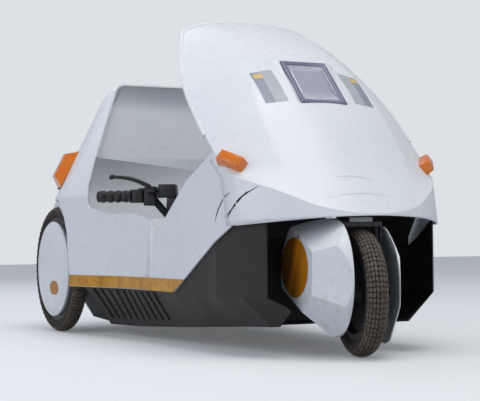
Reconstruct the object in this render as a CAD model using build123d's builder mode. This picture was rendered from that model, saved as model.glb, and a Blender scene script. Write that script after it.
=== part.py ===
from build123d import *
import math
import os

os.makedirs("parts", exist_ok=True)

# Electric pedal tricycle: a white upper body moulding over a black lower tub,
# one steered front wheel between conical fork covers, two wheels at the rear.
# +X is the vehicle's left, the front is toward -Y, +Z is up, the floor is Z = 0.

# Driving dimensions, mm
LENGTH = 1744.0
WHEELBASE = 1304.0
FRONT_WHEEL_D = 317.0
FRONT_TYRE_W = 57.0
REAR_WHEEL_D = 406.0
REAR_TYRE_W = 50.0
REAR_WHEEL_X = 345.0
FRONT_REACH = 159.0
WALL = 5.0
CLEAR = 0.3
REST_STEER = 14.0
BEAM_W = 76.0
BEAM_H = 90.0
TAIL_LAMP_T = 12.0
TAIL_AFT = LENGTH - FRONT_REACH - TAIL_LAMP_T

FRONT_R = FRONT_WHEEL_D / 2
REAR_R = REAR_WHEEL_D / 2
AXLE_Y = FRONT_REACH - LENGTH / 2
REAR_AXLE_Y = AXLE_Y + WHEELBASE


def aft(distance):
    """Y of a place measured rearward from the front axle."""
    return AXLE_Y + distance


# Bonnet, bottom edge to top edge: height, how far aft the centre line is,
# half width of the side edge, how far aft the side edge is
BONNET = (
    (340, -64, 297, 112),
    (430, 8, 308, 162),
    (515, 73, 314, 209),
    (643, 179, 312, 342),
    (722, 256, 296, 428),
    (825, 392, 250, 539),
    (889, 515, 208, 626),
    (935, 660, 190, 720),
)
BONNET_TOP_AFT = 628.0

# Waist height, where the white moulding meets the black tub
WAIST_Z = 152.0
STRIPE_H = 36.0
STRIPE_T = 1.2

# Body sides in plan from the nose corner to the seat: aft, half width
SIDE = ((112, 297), (215, 312), (600, 308), (645, 309))

# Side opening of the cockpit in side view: aft, height
SILL = ((214, 520), (238, 508), (383, 452), (588, 318), (640, 352), (760, 372), (900, 372), (1005, 395))
WING = ((1030, 480), (1062, 700), (1085, 800))

# Rear body sections: aft, half width at the waist, knee height,
# half width of the top, height of the top
REAR_BODY = (
    (640, 309, 430, 250, 760),
    (750, 313, 430, 248, 768),
    (860, 324, 430, 245, 775),
    (1085, 378, 430, 232, 788),
    (1180, 388, 430, 226, 775),
    (1304, 366, 430, 215, 715),
    (1450, 318, 420, 200, 610),
    (TAIL_AFT, 262, 400, 182, 490),
)
TOP_FILLET = 38.0

# Black tub sections: aft, half width of the side, half width of the bottom,
# height of the bottom
TUB = (
    (36, 228, 150, 80),
    (112, 286, 205, 74),
    (215, 306, 212, 70),
    (600, 302.4, 235, 48),
    (650, 302.4, 238, 46),
    (860, 311, 250, 36),
    (1070, 350, 262, 32),
)
TUB_REAR = (
    (1066, 292, 240, 34),
    (1300, 292, 236, 44),
    (1540, 246, 200, 110),
)
CHAMFER_Z = 150.0
TUB_TOP = 338.0


def arc_band(z, centre, half, edge, depth):
    """Closed sketch at height z: the bonnet's outer arc and its inner arc."""
    with BuildSketch(Plane.XY.offset(z)) as band:
        with BuildLine():
            ThreePointArc((-half, aft(edge)), (0, aft(centre)), (half, aft(edge)))
            Line((half, aft(edge)), (half - WALL, aft(edge) + depth))
            ThreePointArc(
                (half - WALL, aft(edge) + depth),
                (0, aft(centre) + depth),
                (WALL - half, aft(edge) + depth),
            )
            Line((WALL - half, aft(edge) + depth), (-half, aft(edge)))
        make_face()
    return band.sketch


def bonnet_depth(index):
    """Distance along Y through the bonnet's wall, from the local slope."""
    low = BONNET[max(index - 1, 0)]
    high = BONNET[min(index + 1, len(BONNET) - 1)]
    slope = math.atan2(high[0] - low[0], high[1] - low[1])
    return WALL / math.sin(slope)


def rear_section(row, inset):
    """Closed section of the rear body, moved inward by inset."""
    distance, half, knee, top_half, top = row
    with BuildSketch(Plane.XZ.offset(-aft(distance))) as section:
        with BuildLine():
            Polyline(
                (inset - half, WAIST_Z - inset),
                (half - inset, WAIST_Z - inset),
                (half - inset, knee),
                (top_half - inset, top - inset),
                (inset - top_half, top - inset),
                (inset - half, knee),
                close=True,
            )
        make_face()
        fillet(section.vertices().group_by(Axis.Y)[-1], TOP_FILLET - inset)
        fillet(section.vertices().group_by(Axis.Y)[1], TOP_FILLET - inset)
    return section.sketch


def tub_section(row, inset, top):
    """Closed section of the tub, moved inward by inset and open to top."""
    distance, half, bottom_half, bottom = row
    with BuildSketch(Plane.XZ.offset(-aft(distance))) as section:
        with BuildLine():
            Polyline(
                (inset - bottom_half, bottom + inset),
                (bottom_half - inset, bottom + inset),
                (half - inset, CHAMFER_Z),
                (half - inset, top),
                (inset - half, top),
                (inset - half, CHAMFER_Z),
                close=True,
            )
        make_face()
    return section.sketch


def lofted(sections, ruled=False):
    """A solid through a list of sections."""
    with BuildPart() as body:
        for section in sections:
            add(section)
        loft(ruled=ruled)
    return body.part


def side_view(points, half):
    """Solid of a side-view outline of (aft, height) points, half wide each way."""
    with BuildPart() as body:
        with BuildSketch(Plane.YZ):
            with BuildLine():
                Polyline(*[(aft(a), z) for a, z in points], close=True)
            make_face()
        extrude(amount=half, both=True)
    return body.part


# Wheel houses at the rear: hub wall, gap over the tyre, and the side-view
# outline of the flank's rear edge, aft and height
HOUSE_HALF = 293.0
ARCH_GAP = 22.0
FLANK_EDGE = ((1112, 100), (1116, 200), (1132, 320), (1160, 385), (1215, 425), (1700, 430), (1700, 100))


def wheel_house(grow):
    """Space round both rear wheels, its walls moved away from the wheel by grow."""
    reach = REAR_R + ARCH_GAP + grow
    with BuildPart() as house:
        for side in (-1, 1):
            with BuildSketch(Plane.YZ.offset(side * (HOUSE_HALF + WALL - grow))):
                with Locations((REAR_AXLE_Y, REAR_R)):
                    Circle(reach)
                with Locations((REAR_AXLE_Y + 200, (REAR_R + reach) / 2)):
                    Rectangle(400, REAR_R + reach)
            extrude(amount=side * 200)
    return house.part


def flank_cut():
    """What lies outboard of the hub wall behind the flank's rear edge."""
    with BuildPart() as cut:
        for side in (-1, 1):
            with BuildSketch(Plane.YZ.offset(side * (HOUSE_HALF + WALL))):
                with BuildLine():
                    Polyline(*[(aft(a), z) for a, z in FLANK_EDGE], close=True)
                make_face()
            extrude(amount=side * 200)
    return cut.part


def rear_rows(inset):
    """Rear body rows; the inner ones stop short of the tail."""
    rows = [list(row) for row in REAR_BODY]
    rows[-1][0] -= max(inset, 0)
    return rows


# Seat: back and base of the moulding in side view, aft and height
SEAT = ((1088, 784), (1076, 700), (1052, 480), (1012, 360), (945, 290), (860, 264), (800, 256), (790, 200))

# Boot lid in plan: aft of its front and rear edge, half width, gap, hinge place
LID = (1152, 1500)
LID_HALF = 158.0
LID_GAP = 3.0
LID_CORNER = 30.0
HINGE_AFT = 1138.0
HINGE_Z = 794.0
HINGE_X = 90.0
PIN_R = 3.0
RUN_CLEAR = 0.05


def lid_block(grow):
    """Upright block through the deck that cuts the boot lid out of it."""
    with BuildPart() as block:
        with BuildSketch(Plane.XY.offset(460)):
            with Locations((0, aft(sum(LID) / 2))):
                RectangleRounded(2 * (LID_HALF + grow), LID[1] - LID[0] + 2 * grow, LID_CORNER + grow)
        extrude(amount=400)
    return block.part


def rod(start, end, radius):
    """Round bar between two points."""
    a, b = Vector(*start), Vector(*end)
    with BuildPart() as bar:
        with BuildSketch(Plane(origin=a, z_dir=b - a)):
            Circle(radius)
        extrude(amount=(b - a).length)
    return bar.part


def spun(outline, centre, lateral, forward):
    """Solid of revolution about an axle: outline is (along the axle, radius)."""
    with BuildPart() as body:
        with BuildSketch(Plane(origin=centre, x_dir=lateral, z_dir=forward)) as profile:
            with BuildLine():
                Polyline(*outline, close=True)
            make_face()
        revolve(axis=Axis(centre, lateral))
    return body.part


# Rear body, filled and hollow
rear_outer = lofted([rear_section(row, 0) for row in rear_rows(0)])
rear_inner = lofted([rear_section(row, WALL) for row in rear_rows(WALL)])
bonnet = lofted([
    arc_band(z, centre, half, edge, bonnet_depth(i))
    for i, (z, centre, half, edge) in enumerate(BONNET)
])

HUB_HOLE_R = 26.0
PLATE_HOLE_X = 75.0
PLATE_HOLE_Z = 250.0
PLATE_HOLE_R = 3.0

# Headlamp: centre on the bonnet, slope of its face, width, length, depth
LAMP = (246, 711)
LAMP_SLOPE = 45.7
LAMP_W = 132.0
LAMP_L = 164.0
LAMP_RIM = 13.0
LAMP_PROUD = 9.0
LAMP_DEPTH = 40.0
slope = math.radians(LAMP_SLOPE)
lamp_plane = Plane(
    origin=(0, aft(LAMP[0]), LAMP[1]),
    x_dir=(1, 0, 0),
    z_dir=(0, -math.sin(slope), math.cos(slope)),
)

# White upper moulding: bonnet, sides, rear body with wheel houses, seat
with BuildPart() as upper_shell:
    add(rear_outer)
    add(rear_inner, mode=Mode.SUBTRACT)
    add(flank_cut(), mode=Mode.SUBTRACT)
    cockpit = (*SILL[3:], *WING, (1085, 900), (560, 900))
    add(side_view(cockpit, 500), mode=Mode.SUBTRACT)
    add(rear_outer & (wheel_house(WALL) - wheel_house(0)))
    seat_line = [(aft(a), z) for a, z in SEAT]
    with BuildPart(mode=Mode.PRIVATE) as seat:
        with BuildSketch(Plane.YZ):
            with BuildLine():
                Polyline(*seat_line)
                offset(amount=WALL, side=Side.LEFT)
            make_face()
        extrude(amount=400, both=True)
    add(seat.part & lofted([rear_section(row, 1) for row in rear_rows(1)]))
    add(bonnet)
    with BuildPart(mode=Mode.PRIVATE) as sides:
        with BuildSketch():
            with BuildLine():
                outer = Polyline(*[(w, aft(a)) for a, w in SIDE])
                inner = Polyline(*[(w - WALL, aft(a)) for a, w in SIDE])
                Line(outer @ 0, inner @ 0)
                Line(outer @ 1, inner @ 1)
            make_face()
            mirror(about=Plane.YZ)
        extrude(amount=560)
        add(side_view(((112, 340), *SILL[:5], (652, 357), (652, WAIST_Z), (478, WAIST_Z)), 500),
            mode=Mode.INTERSECT)
    add(sides.part)
    with Locations((0, aft(BONNET_TOP_AFT) + 200, 900)):
        Box(600, 400, 150, mode=Mode.SUBTRACT)
    add(lid_block(LID_GAP), mode=Mode.SUBTRACT)
    for x in (-HINGE_X, HINGE_X):
        for dx in (-20, 20):
            with BuildSketch(Plane.YZ.offset(x + dx)):
                with BuildLine():
                    a, z = aft(HINGE_AFT), HINGE_Z
                    Polyline((a - 9, z - 16), (a + 9, z - 16), (a + 7, z + 7), (a - 7, z + 7), close=True)
                make_face()
            extrude(amount=3, both=True)
        add(rod((x - 20, aft(HINGE_AFT), HINGE_Z), (x + 20, aft(HINGE_AFT), HINGE_Z), PIN_R))
    add(rod((-320, REAR_AXLE_Y, REAR_R), (320, REAR_AXLE_Y, REAR_R), HUB_HOLE_R), mode=Mode.SUBTRACT)
    for x in (-PLATE_HOLE_X, PLATE_HOLE_X):
        add(
            rod((x, aft(TAIL_AFT) - 20, PLATE_HOLE_Z), (x, aft(TAIL_AFT) + 20, PLATE_HOLE_Z), PLATE_HOLE_R),
            mode=Mode.SUBTRACT,
        )
    with BuildSketch(lamp_plane.offset(-60)):
        Rectangle(LAMP_W + 2 * CLEAR, LAMP_L + 2 * CLEAR)
    extrude(amount=120, mode=Mode.SUBTRACT)

with BuildPart() as boot_lid:
    add((rear_outer - rear_inner) & lid_block(0))
    for x in (-HINGE_X, HINGE_X):
        with Locations((x, aft(1150), HINGE_Z - 5)):
            Box(30, 24, 4)
        with Locations((x, aft(1160), HINGE_Z - 10)):
            Box(30, 12, 14)
        add(rod((x - 15, aft(HINGE_AFT), HINGE_Z), (x + 15, aft(HINGE_AFT), HINGE_Z), 6.5))
        add(
            rod((x - 16, aft(HINGE_AFT), HINGE_Z), (x + 16, aft(HINGE_AFT), HINGE_Z), PIN_R + RUN_CLEAR),
            mode=Mode.SUBTRACT,
        )


# Black lower tub: side walls, chamfered belly, narrow tail between the wheels
def tub_rows(rows, inset):
    """Tub rows; the inner ones run out at the front and stop short at the rear."""
    moved = [list(row) for row in rows]
    if inset:
        moved[0][0] -= 10
        moved[-1][0] -= inset
    return moved


def tub_solid(inset, top):
    """Tub as a filled solid, moved inward by inset."""
    return (
        lofted([tub_section(row, inset, top) for row in tub_rows(TUB, inset)], ruled=True)
        + lofted([tub_section(row, inset, top) for row in tub_rows(TUB_REAR, inset)], ruled=True)
    )


LINER_AFT = 250.0
LINER_Z = 355.0
LINER_T = 4.0
STEER_AFT = 60.0
WELL_RIGHT = 190.0
WELL_LEFT = 150.0
STEM_R = 12.5
ROD_X = 36.0

with BuildPart() as lower_tub:
    add(tub_solid(0, TUB_TOP))
    add(tub_solid(WALL, TUB_TOP + 60), mode=Mode.SUBTRACT)
    add(side_view(((0, TUB_TOP), (120, TUB_TOP), (478, 160), (1700, 160), (1700, 500), (0, 500)), 500),
        mode=Mode.SUBTRACT)
    well = (WELL_RIGHT + WELL_LEFT, LINER_AFT - 14 + 100, 300)
    with Locations(((WELL_LEFT - WELL_RIGHT) / 2, aft(-100) + well[1] / 2, 0)):
        Box(*well, mode=Mode.SUBTRACT)

# Wheel well liner: bulkhead behind the front wheel and a roof over it
with BuildPart() as wheel_liner:
    with BuildSketch(Plane.YZ):
        with BuildLine():
            Polyline((aft(LINER_AFT - 60), LINER_Z), (aft(LINER_AFT - 40), LINER_Z),
                     (aft(LINER_AFT), LINER_Z - 60), (aft(LINER_AFT), 60))
            offset(amount=LINER_T, side=Side.LEFT)
        make_face()
    extrude(amount=400, both=True)
    add(tub_solid(WALL + CLEAR, TUB_TOP + 60), mode=Mode.INTERSECT)
    with BuildSketch(Plane.XY.offset(LINER_Z)):
        with BuildLine():
            ThreePointArc((-285, aft(129)), (0, aft(-38)), (285, aft(129)))
            Polyline((285, aft(129)), (285, aft(LINER_AFT - 45)), (-285, aft(LINER_AFT - 45)), (-285, aft(129)))
        make_face()
    extrude(amount=LINER_T)
    with Locations((0, aft(STEER_AFT), LINER_Z)):
        Cylinder(STEM_R + 8, 40, mode=Mode.SUBTRACT)
    with Locations((ROD_X - 3, aft(LINER_AFT), 340)):
        Box(34, 120, 34, mode=Mode.SUBTRACT)

# Amber band over the joint of the two mouldings
with BuildPart() as waist_stripe:
    add(
        (lofted([rear_section(row, -STRIPE_T) for row in rear_rows(0)]) - rear_outer)
        & side_view(((640, WAIST_Z), (640, WAIST_Z + STRIPE_H), (1114, WAIST_Z + STRIPE_H), (1114, WAIST_Z)), 500)
    )
    with BuildPart(mode=Mode.PRIVATE) as band:
        with BuildSketch():
            with BuildLine():
                outer = Polyline(*[(w + STRIPE_T, aft(a)) for a, w in SIDE])
                inner = Polyline(*[(w, aft(a)) for a, w in SIDE])
                Line(outer @ 0, inner @ 0)
                Line(outer @ 1, inner @ 1)
            make_face()
            mirror(about=Plane.YZ)
        extrude(amount=400)
        add(side_view(((478, WAIST_Z), (406, WAIST_Z + STRIPE_H), (640, WAIST_Z + STRIPE_H), (640, WAIST_Z)), 500),
            mode=Mode.INTERSECT)
    add(band.part)

# Headlamp: tinted frame in the bonnet's cut-out, clear lens in the frame
with BuildPart() as headlamp_frame:
    with BuildSketch(lamp_plane.offset(-LAMP_DEPTH)):
        Rectangle(LAMP_W, LAMP_L)
    extrude(amount=LAMP_DEPTH + LAMP_PROUD)
    chamfer(headlamp_frame.faces().sort_by(Axis((0, 0, 0), lamp_plane.z_dir))[-1].edges(), 5)
    with BuildSketch(lamp_plane.offset(-LAMP_DEPTH + 6)):
        Rectangle(LAMP_W - 2 * LAMP_RIM, LAMP_L - 2 * LAMP_RIM)
    extrude(amount=LAMP_DEPTH + LAMP_PROUD, mode=Mode.SUBTRACT)

with BuildPart() as headlamp_lens:
    with BuildSketch(lamp_plane.offset(-LAMP_DEPTH + 6)):
        Rectangle(LAMP_W - 2 * LAMP_RIM, LAMP_L - 2 * LAMP_RIM)
    extrude(amount=LAMP_DEPTH - 6 + LAMP_PROUD - 3)

# Indicators: place on the body, outward normal, width, height, length, and the wedge's top
FRONT_IND = ((-284, 167, 488), (-0.60, -0.61, 0.515), 74, 40, 34)
REAR_IND = ((-326, 1270, 522), (-0.878, 0.152, 0.453), 74, 128, 34)
PAD_T = 5.0


def indicator_plane(place, normal, side):
    """Plane on the body at an indicator, its x direction level."""
    x, a, z = place
    nx, ny, nz = normal
    out = Vector(side * -nx, ny, nz).normalized()
    level = Vector(-out.Y, out.X, 0).normalized()
    return Plane(origin=(side * -x, aft(a), z), x_dir=level, z_dir=out)


bonnet_filled = lofted([
    arc_band(z, centre, half, edge, 4 * bonnet_depth(i))
    for i, (z, centre, half, edge) in enumerate(BONNET)
])
indicator_parts = {}
for name, (place, normal, wide, tall, high) in {"front": FRONT_IND, "rear": REAR_IND}.items():
    skin = bonnet_filled if name == "front" else rear_outer
    with BuildPart() as pad:
        for side in (-1, 1):
            plane = indicator_plane(place, normal, side)
            with BuildSketch(plane.offset(-9)):
                Rectangle(wide + 8, tall + 8)
            extrude(amount=9 + PAD_T)
        add(skin, mode=Mode.SUBTRACT)
    with BuildPart() as lens:
        for side in (-1, 1):
            plane = indicator_plane(place, normal, side)
            with BuildSketch(plane.offset(PAD_T)):
                Rectangle(wide, tall)
            with BuildSketch(plane.offset(PAD_T + high)):
                Rectangle(wide * 0.62, tall * 0.62)
            loft()
        add(skin, mode=Mode.SUBTRACT)
    indicator_parts[name] = (pad.part, lens.part)
front_pads, front_indicators = indicator_parts["front"]
rear_pads, rear_indicators = indicator_parts["rear"]

# Tail lamp on the flat of the tail
with BuildPart() as tail_lamp:
    with BuildSketch(Plane.XZ.offset(-aft(TAIL_AFT))):
        with Locations((0, 350)):
            RectangleRounded(230, 62, 10)
    extrude(amount=-TAIL_LAMP_T)
    chamfer(tail_lamp.faces().sort_by(Axis.Y)[-1].edges(), 4)

# Chassis: box beam, crossmember, posts, neck and head tube, one welding
BEAM_Z = 92.0
POST_AFT = 278.0
CRANK = (430, 285)
PIVOT_AFT = 750.0
POST_R = 12.0
HEAD_Z = (357, 386)
BAR_Z = 320.0
ROD_Z = 344.0
AXLE_TUBE_R = 16.0
with BuildPart() as chassis:
    with Locations((0, aft((POST_AFT - 18 + 1270) / 2), BEAM_Z + BEAM_H / 2)):
        Box(BEAM_W, 1270 - POST_AFT + 18, BEAM_H)
    with Locations((0, aft(POST_AFT), (BEAM_Z + HEAD_Z[1]) / 2)):
        Box(34, 36, HEAD_Z[1] - BEAM_Z)
    with Locations((0, aft((STEER_AFT + POST_AFT) / 2), (HEAD_Z[0] + 2 + HEAD_Z[1] - 2) / 2)):
        Box(34, POST_AFT - STEER_AFT, HEAD_Z[1] - HEAD_Z[0] - 4)
    with Locations((0, aft(STEER_AFT), sum(HEAD_Z) / 2)):
        Cylinder(19, HEAD_Z[1] - HEAD_Z[0])
        Cylinder(STEM_R + RUN_CLEAR, HEAD_Z[1] - HEAD_Z[0], mode=Mode.SUBTRACT)
    with Locations((0, aft(CRANK[0]), (BEAM_Z + CRANK[1]) / 2)):
        Box(24, 34, CRANK[1] - BEAM_Z)
    add(rod((-34, aft(CRANK[0]), CRANK[1]), (34, aft(CRANK[0]), CRANK[1]), 20))
    add(rod((-34, aft(CRANK[0]), CRANK[1]), (34, aft(CRANK[0]), CRANK[1]), 9 + RUN_CLEAR), mode=Mode.SUBTRACT)
    add(rod((0, aft(PIVOT_AFT), BEAM_Z + 20), (0, aft(PIVOT_AFT), BAR_Z - 20.5), 20))
    add(rod((0, aft(PIVOT_AFT), BEAM_Z + 20), (0, aft(PIVOT_AFT), BAR_Z + 19), POST_R))
    with Locations((0, REAR_AXLE_Y - AXLE_TUBE_R - 6, 165)):
        Box(280, 26, 110)
    for place, low in ((600, 54.5), (1040, 38.2)):
        with Locations((0, aft(place), (low + BEAM_Z) / 2)):
            Box(60, 24, BEAM_Z - low)
    add(rod((-288, REAR_AXLE_Y, REAR_R), (288, REAR_AXLE_Y, REAR_R), AXLE_TUBE_R))
    add(rod((-384, REAR_AXLE_Y, REAR_R), (384, REAR_AXLE_Y, REAR_R), 10))

# Closed heavy masses: battery beside the beam, motor and gearbox at the left wheel
with BuildPart() as battery:
    with Locations((-146, aft(955), 41.5 + 90)):
        Box(190, 180, 180)
    fillet(battery.edges().filter_by(Axis.Z), 8)

with BuildPart() as motor_unit:
    with BuildSketch(Plane.YZ.offset(150)):
        with Locations((REAR_AXLE_Y + 40, REAR_R - 15)):
            RectangleRounded(190, 120, 30)
    extrude(amount=50)
    add(rod((30, REAR_AXLE_Y + 88, REAR_R - 15), (152, REAR_AXLE_Y + 88, REAR_R - 15), 46))
    add(rod((60, REAR_AXLE_Y, REAR_R), (300, REAR_AXLE_Y, REAR_R), AXLE_TUBE_R + CLEAR), mode=Mode.SUBTRACT)

# Luggage bin under the boot lid, its rim against the underside of the deck
TRAY_Z = 300.0
TRAY_WALL = 3.0
TRAY_HALF = LID_HALF + LID_GAP + 8
with BuildPart() as boot_tray:
    for inset, floor, mode in ((0, TRAY_Z, Mode.ADD), (TRAY_WALL, TRAY_Z + TRAY_WALL, Mode.SUBTRACT)):
        with BuildSketch(Plane.XY.offset(floor)):
            with Locations((0, aft(sum(LID) / 2))):
                RectangleRounded(2 * (TRAY_HALF - inset), LID[1] - LID[0] + 2 * (LID_GAP + 8 - inset), 30 - inset)
        extrude(amount=600, mode=mode)
    add(lofted([rear_section(row, WALL + CLEAR) for row in rear_rows(WALL + CLEAR)]), mode=Mode.INTERSECT)

# Steering planes, turned to the right as the vehicle is parked
turn = math.radians(REST_STEER)
left_dir = Vector(math.cos(turn), -math.sin(turn), 0)
back_dir = Vector(math.sin(turn), math.cos(turn), 0)


def turned(pivot_aft, x, y, z):
    """Point of a turned group: left and back of its upright pivot, and height."""
    return Vector(0, aft(pivot_aft), z) + left_dir * x + back_dir * y


def turned_plane(pivot_aft, z):
    """Level plane of a turned group at a height."""
    return Plane(origin=(0, aft(pivot_aft), z), x_dir=left_dir, z_dir=(0, 0, 1))


FORK_X = 45.0
CROWN_Z = 322.0
CROWN_T = 12.0
WHEEL_BACK = -STEER_AFT
wheel_centre = turned(STEER_AFT, 0, WHEEL_BACK, FRONT_R)
fork_plane = turned_plane(STEER_AFT, CROWN_Z)
SPINDLE_R = 7.0

with BuildPart() as fork:
    with BuildSketch(fork_plane):
        with Locations((0, WHEEL_BACK / 2)):
            RectangleRounded(2 * FORK_X + 22, STEER_AFT + 44, 12)
    extrude(amount=CROWN_T)
    add(rod(turned(STEER_AFT, 0, 0, CROWN_Z), turned(STEER_AFT, 0, 0, HEAD_Z[1] + 10), STEM_R))
    add(rod(turned(STEER_AFT, 0, 0, HEAD_Z[1] + 0.5), turned(STEER_AFT, 0, 0, HEAD_Z[1] + 8), 17))
    for x in (-FORK_X, FORK_X):
        add(rod(turned(STEER_AFT, x, WHEEL_BACK, FRONT_R - 12), turned(STEER_AFT, x, WHEEL_BACK, CROWN_Z + 2), 9))
    add(rod(turned(STEER_AFT, ROD_X, 0, CROWN_Z), turned(STEER_AFT, ROD_X, 0, ROD_Z + 5), 4))
    add(rod(turned(STEER_AFT, -145, WHEEL_BACK, FRONT_R), turned(STEER_AFT, 78, WHEEL_BACK, FRONT_R), SPINDLE_R))

with BuildPart() as front_caliper:
    with BuildSketch(fork_plane.offset(CROWN_T)):
        with Locations((0, WHEEL_BACK - 8)):
            RectangleRounded(64, 20, 6)
    extrude(amount=11)

# Front wheel: tyre, then rim with web and hub
TYRE_SECTION = ((-0.34, 0.0), (-0.5, 0.28), (-0.46, 0.62), (-0.3, 0.9), (0, 1.0),
                (0.3, 0.9), (0.46, 0.62), (0.5, 0.28), (0.34, 0.0))


def tyre_outline(width, bead_r, outer_r):
    """Tyre section from its bead to its crown: along the axle, radius."""
    return [(u * width, bead_r + v * (outer_r - bead_r)) for u, v in TYRE_SECTION]


def rim_outline(width, bead_r, hub_r, hub_half, web, bore):
    """Rim, web and hub in one section: along the axle, radius."""
    half = 0.34 * width
    return (
        (-half, bead_r), (half, bead_r), (half, bead_r - 14), (web, bead_r - 20), (web, hub_r + 6),
        (hub_half, hub_r), (hub_half, bore), (-hub_half, bore), (-hub_half, hub_r), (-web, hub_r + 6),
        (-web, bead_r - 20), (-half, bead_r - 14),
    )


FRONT_BEAD = FRONT_R - 42
REAR_BEAD = REAR_R - 36
with BuildPart() as front_tyre:
    add(spun(tyre_outline(FRONT_TYRE_W, FRONT_BEAD, FRONT_R), wheel_centre, left_dir, back_dir * -1))
with BuildPart() as front_rim:
    outline = rim_outline(FRONT_TYRE_W, FRONT_BEAD, 20, 30, 4, SPINDLE_R + RUN_CLEAR)
    add(spun(outline, wheel_centre, left_dir, back_dir * -1))

rear_wheels = {}
for side, name in ((-1, "right"), (1, "left")):
    centre = Vector(side * REAR_WHEEL_X, REAR_AXLE_Y, REAR_R)
    lateral = Vector(side, 0, 0)
    with BuildPart() as tyre:
        add(spun(tyre_outline(REAR_TYRE_W, REAR_BEAD, REAR_R), centre, lateral, Vector(0, -1, 0)))
    with BuildPart() as rim:
        outline = rim_outline(REAR_TYRE_W, REAR_BEAD, 24, 32, 4, 10 + RUN_CLEAR)
        add(spun(outline, centre, lateral, Vector(0, -1, 0)))
    rear_wheels[name] = (tyre.part, rim.part)


# Faceted trims: eight-sided cone cut by a round rim, hollow behind
def trim_solid(centre, lateral, base, face, rim_r, face_r, inset):
    """Filled trim between two places on the axle; inset moves its skin inward."""
    up = Vector(0, 0, 1)
    with BuildPart() as cone:
        with BuildSketch(Plane(origin=centre + lateral * base, x_dir=up, z_dir=lateral)):
            RegularPolygon((rim_r + 7 - inset), 8, major_radius=False, rotation=22.5)
        with BuildSketch(Plane(origin=centre + lateral * (face - inset), x_dir=up, z_dir=lateral)):
            RegularPolygon(face_r - inset * 0.7, 8, major_radius=False, rotation=22.5)
        loft(ruled=True)
    return cone.part & rod(centre + lateral * base, centre + lateral * (face + 1), rim_r - inset)


def trim(centre, lateral, base, face, rim_r, face_r):
    """Hollow trim, its wall as thick as the shell's."""
    solid = trim_solid(centre, lateral, base, face, rim_r, face_r, 0)
    return solid - trim_solid(centre, lateral, base - 0.01, face, rim_r, face_r, 3)


with BuildPart() as fork_cover_right:
    add(trim(wheel_centre, left_dir * -1, 58, 148, 139.5, 113))
with BuildPart() as fork_cover_left:
    add(trim(wheel_centre, left_dir, 56, 81, 139.5, 124))
rear_covers = {}
for side, name in ((-1, "right"), (1, "left")):
    with BuildPart() as cover:
        centre = Vector(0, REAR_AXLE_Y, REAR_R)
        add(trim(centre, Vector(side, 0, 0), REAR_WHEEL_X + 0.34 * REAR_TYRE_W + CLEAR, 389.5, 160, 118))
    rear_covers[name] = cover.part

# Handlebar: sleeve on its post, two upswept halves, steering arm and pin
BAR_R = 11.0
BAR_HALF = ((15, 0, 0), (150, 0, 0), (238, 25, 105), (385, 85, 105))
with BuildPart() as handlebar:
    for side in (-1, 1):
        points = [turned(PIVOT_AFT, side * x, y, BAR_Z + z) for x, y, z in BAR_HALF]
        with BuildLine(mode=Mode.PRIVATE) as path:
            FilletPolyline(*points, radius=40)
        with BuildSketch(Plane(origin=path.line @ 0, z_dir=path.line % 0)):
            Circle(BAR_R)
        sweep(path=path.line)
    add(rod(turned(PIVOT_AFT, 0, 0, BAR_Z - 20), turned(PIVOT_AFT, 0, 0, BAR_Z + 18), 20))
    with BuildSketch(turned_plane(PIVOT_AFT, BAR_Z + 12)):
        with Locations((ROD_X / 2, 0)):
            SlotOverall(ROD_X + 26, 24)
    extrude(amount=6)
    add(rod(turned(PIVOT_AFT, ROD_X, 0, BAR_Z + 12), turned(PIVOT_AFT, ROD_X, 0, ROD_Z + 6), 4))
    add(rod(turned(PIVOT_AFT, 0, 0, BAR_Z - 30), turned(PIVOT_AFT, 0, 0, BAR_Z + 30), POST_R + RUN_CLEAR),
        mode=Mode.SUBTRACT)

grip_parts, box_parts = [], []
for side in (-1, 1):
    inner_end = turned(PIVOT_AFT, side * BAR_HALF[2][0], BAR_HALF[2][1], BAR_Z + BAR_HALF[2][2])
    outer_end = turned(PIVOT_AFT, side * BAR_HALF[3][0], BAR_HALF[3][1], BAR_Z + BAR_HALF[3][2])
    along = (outer_end - inner_end).normalized()
    grip_parts.append((outer_end - along * 102, outer_end + along * 6, along))
    box_parts.append((inner_end + along * 19, along))
with BuildPart() as grips:
    for start, end, along in grip_parts:
        add(rod(start, end, 17))
        add(rod(start, end - along * 6, BAR_R), mode=Mode.SUBTRACT)
with BuildPart() as switch_boxes:
    for start, along in box_parts:
        with BuildSketch(Plane(origin=start, x_dir=(0, 0, 1), z_dir=along)):
            RectangleRounded(40, 36, 6)
            Circle(BAR_R, mode=Mode.SUBTRACT)
        extrude(amount=22)


def brake_lever(start, along):
    """Clamp ring, neck and blade with a ball end, ahead of and above the bar."""
    front = Vector(along.Y, -along.X, 0) if along.X > 0 else Vector(-along.Y, along.X, 0)
    outward = (front * 14 + Vector(0, 0, 20)).normalized()
    middle = start + along * 28.8
    elbow = middle + outward * 28
    tip = elbow + along * 86 + front * 22 + Vector(0, 0, 26)
    with BuildPart() as lever:
        with BuildSketch(Plane(origin=start + along * 22.3, x_dir=(0, 0, 1), z_dir=along)):
            Circle(18)
            Circle(BAR_R, mode=Mode.SUBTRACT)
        extrude(amount=13)
        add(rod(middle + outward * 15, elbow + outward * 4, 6.2))
        add(rod(elbow, tip, 4.5))
        reach = (tip - elbow).normalized()
        with BuildPart(mode=Mode.PRIVATE) as knob:
            add(rod(tip - reach * 8, tip + reach * 8, 7.5))
            chamfer(knob.edges().filter_by(GeomType.CIRCLE), 3)
        add(knob.part)
    return lever.part


lever_parts = [brake_lever(start, along) for start, along in box_parts]
with BuildPart() as brake_levers:
    add(lever_parts)

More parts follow.
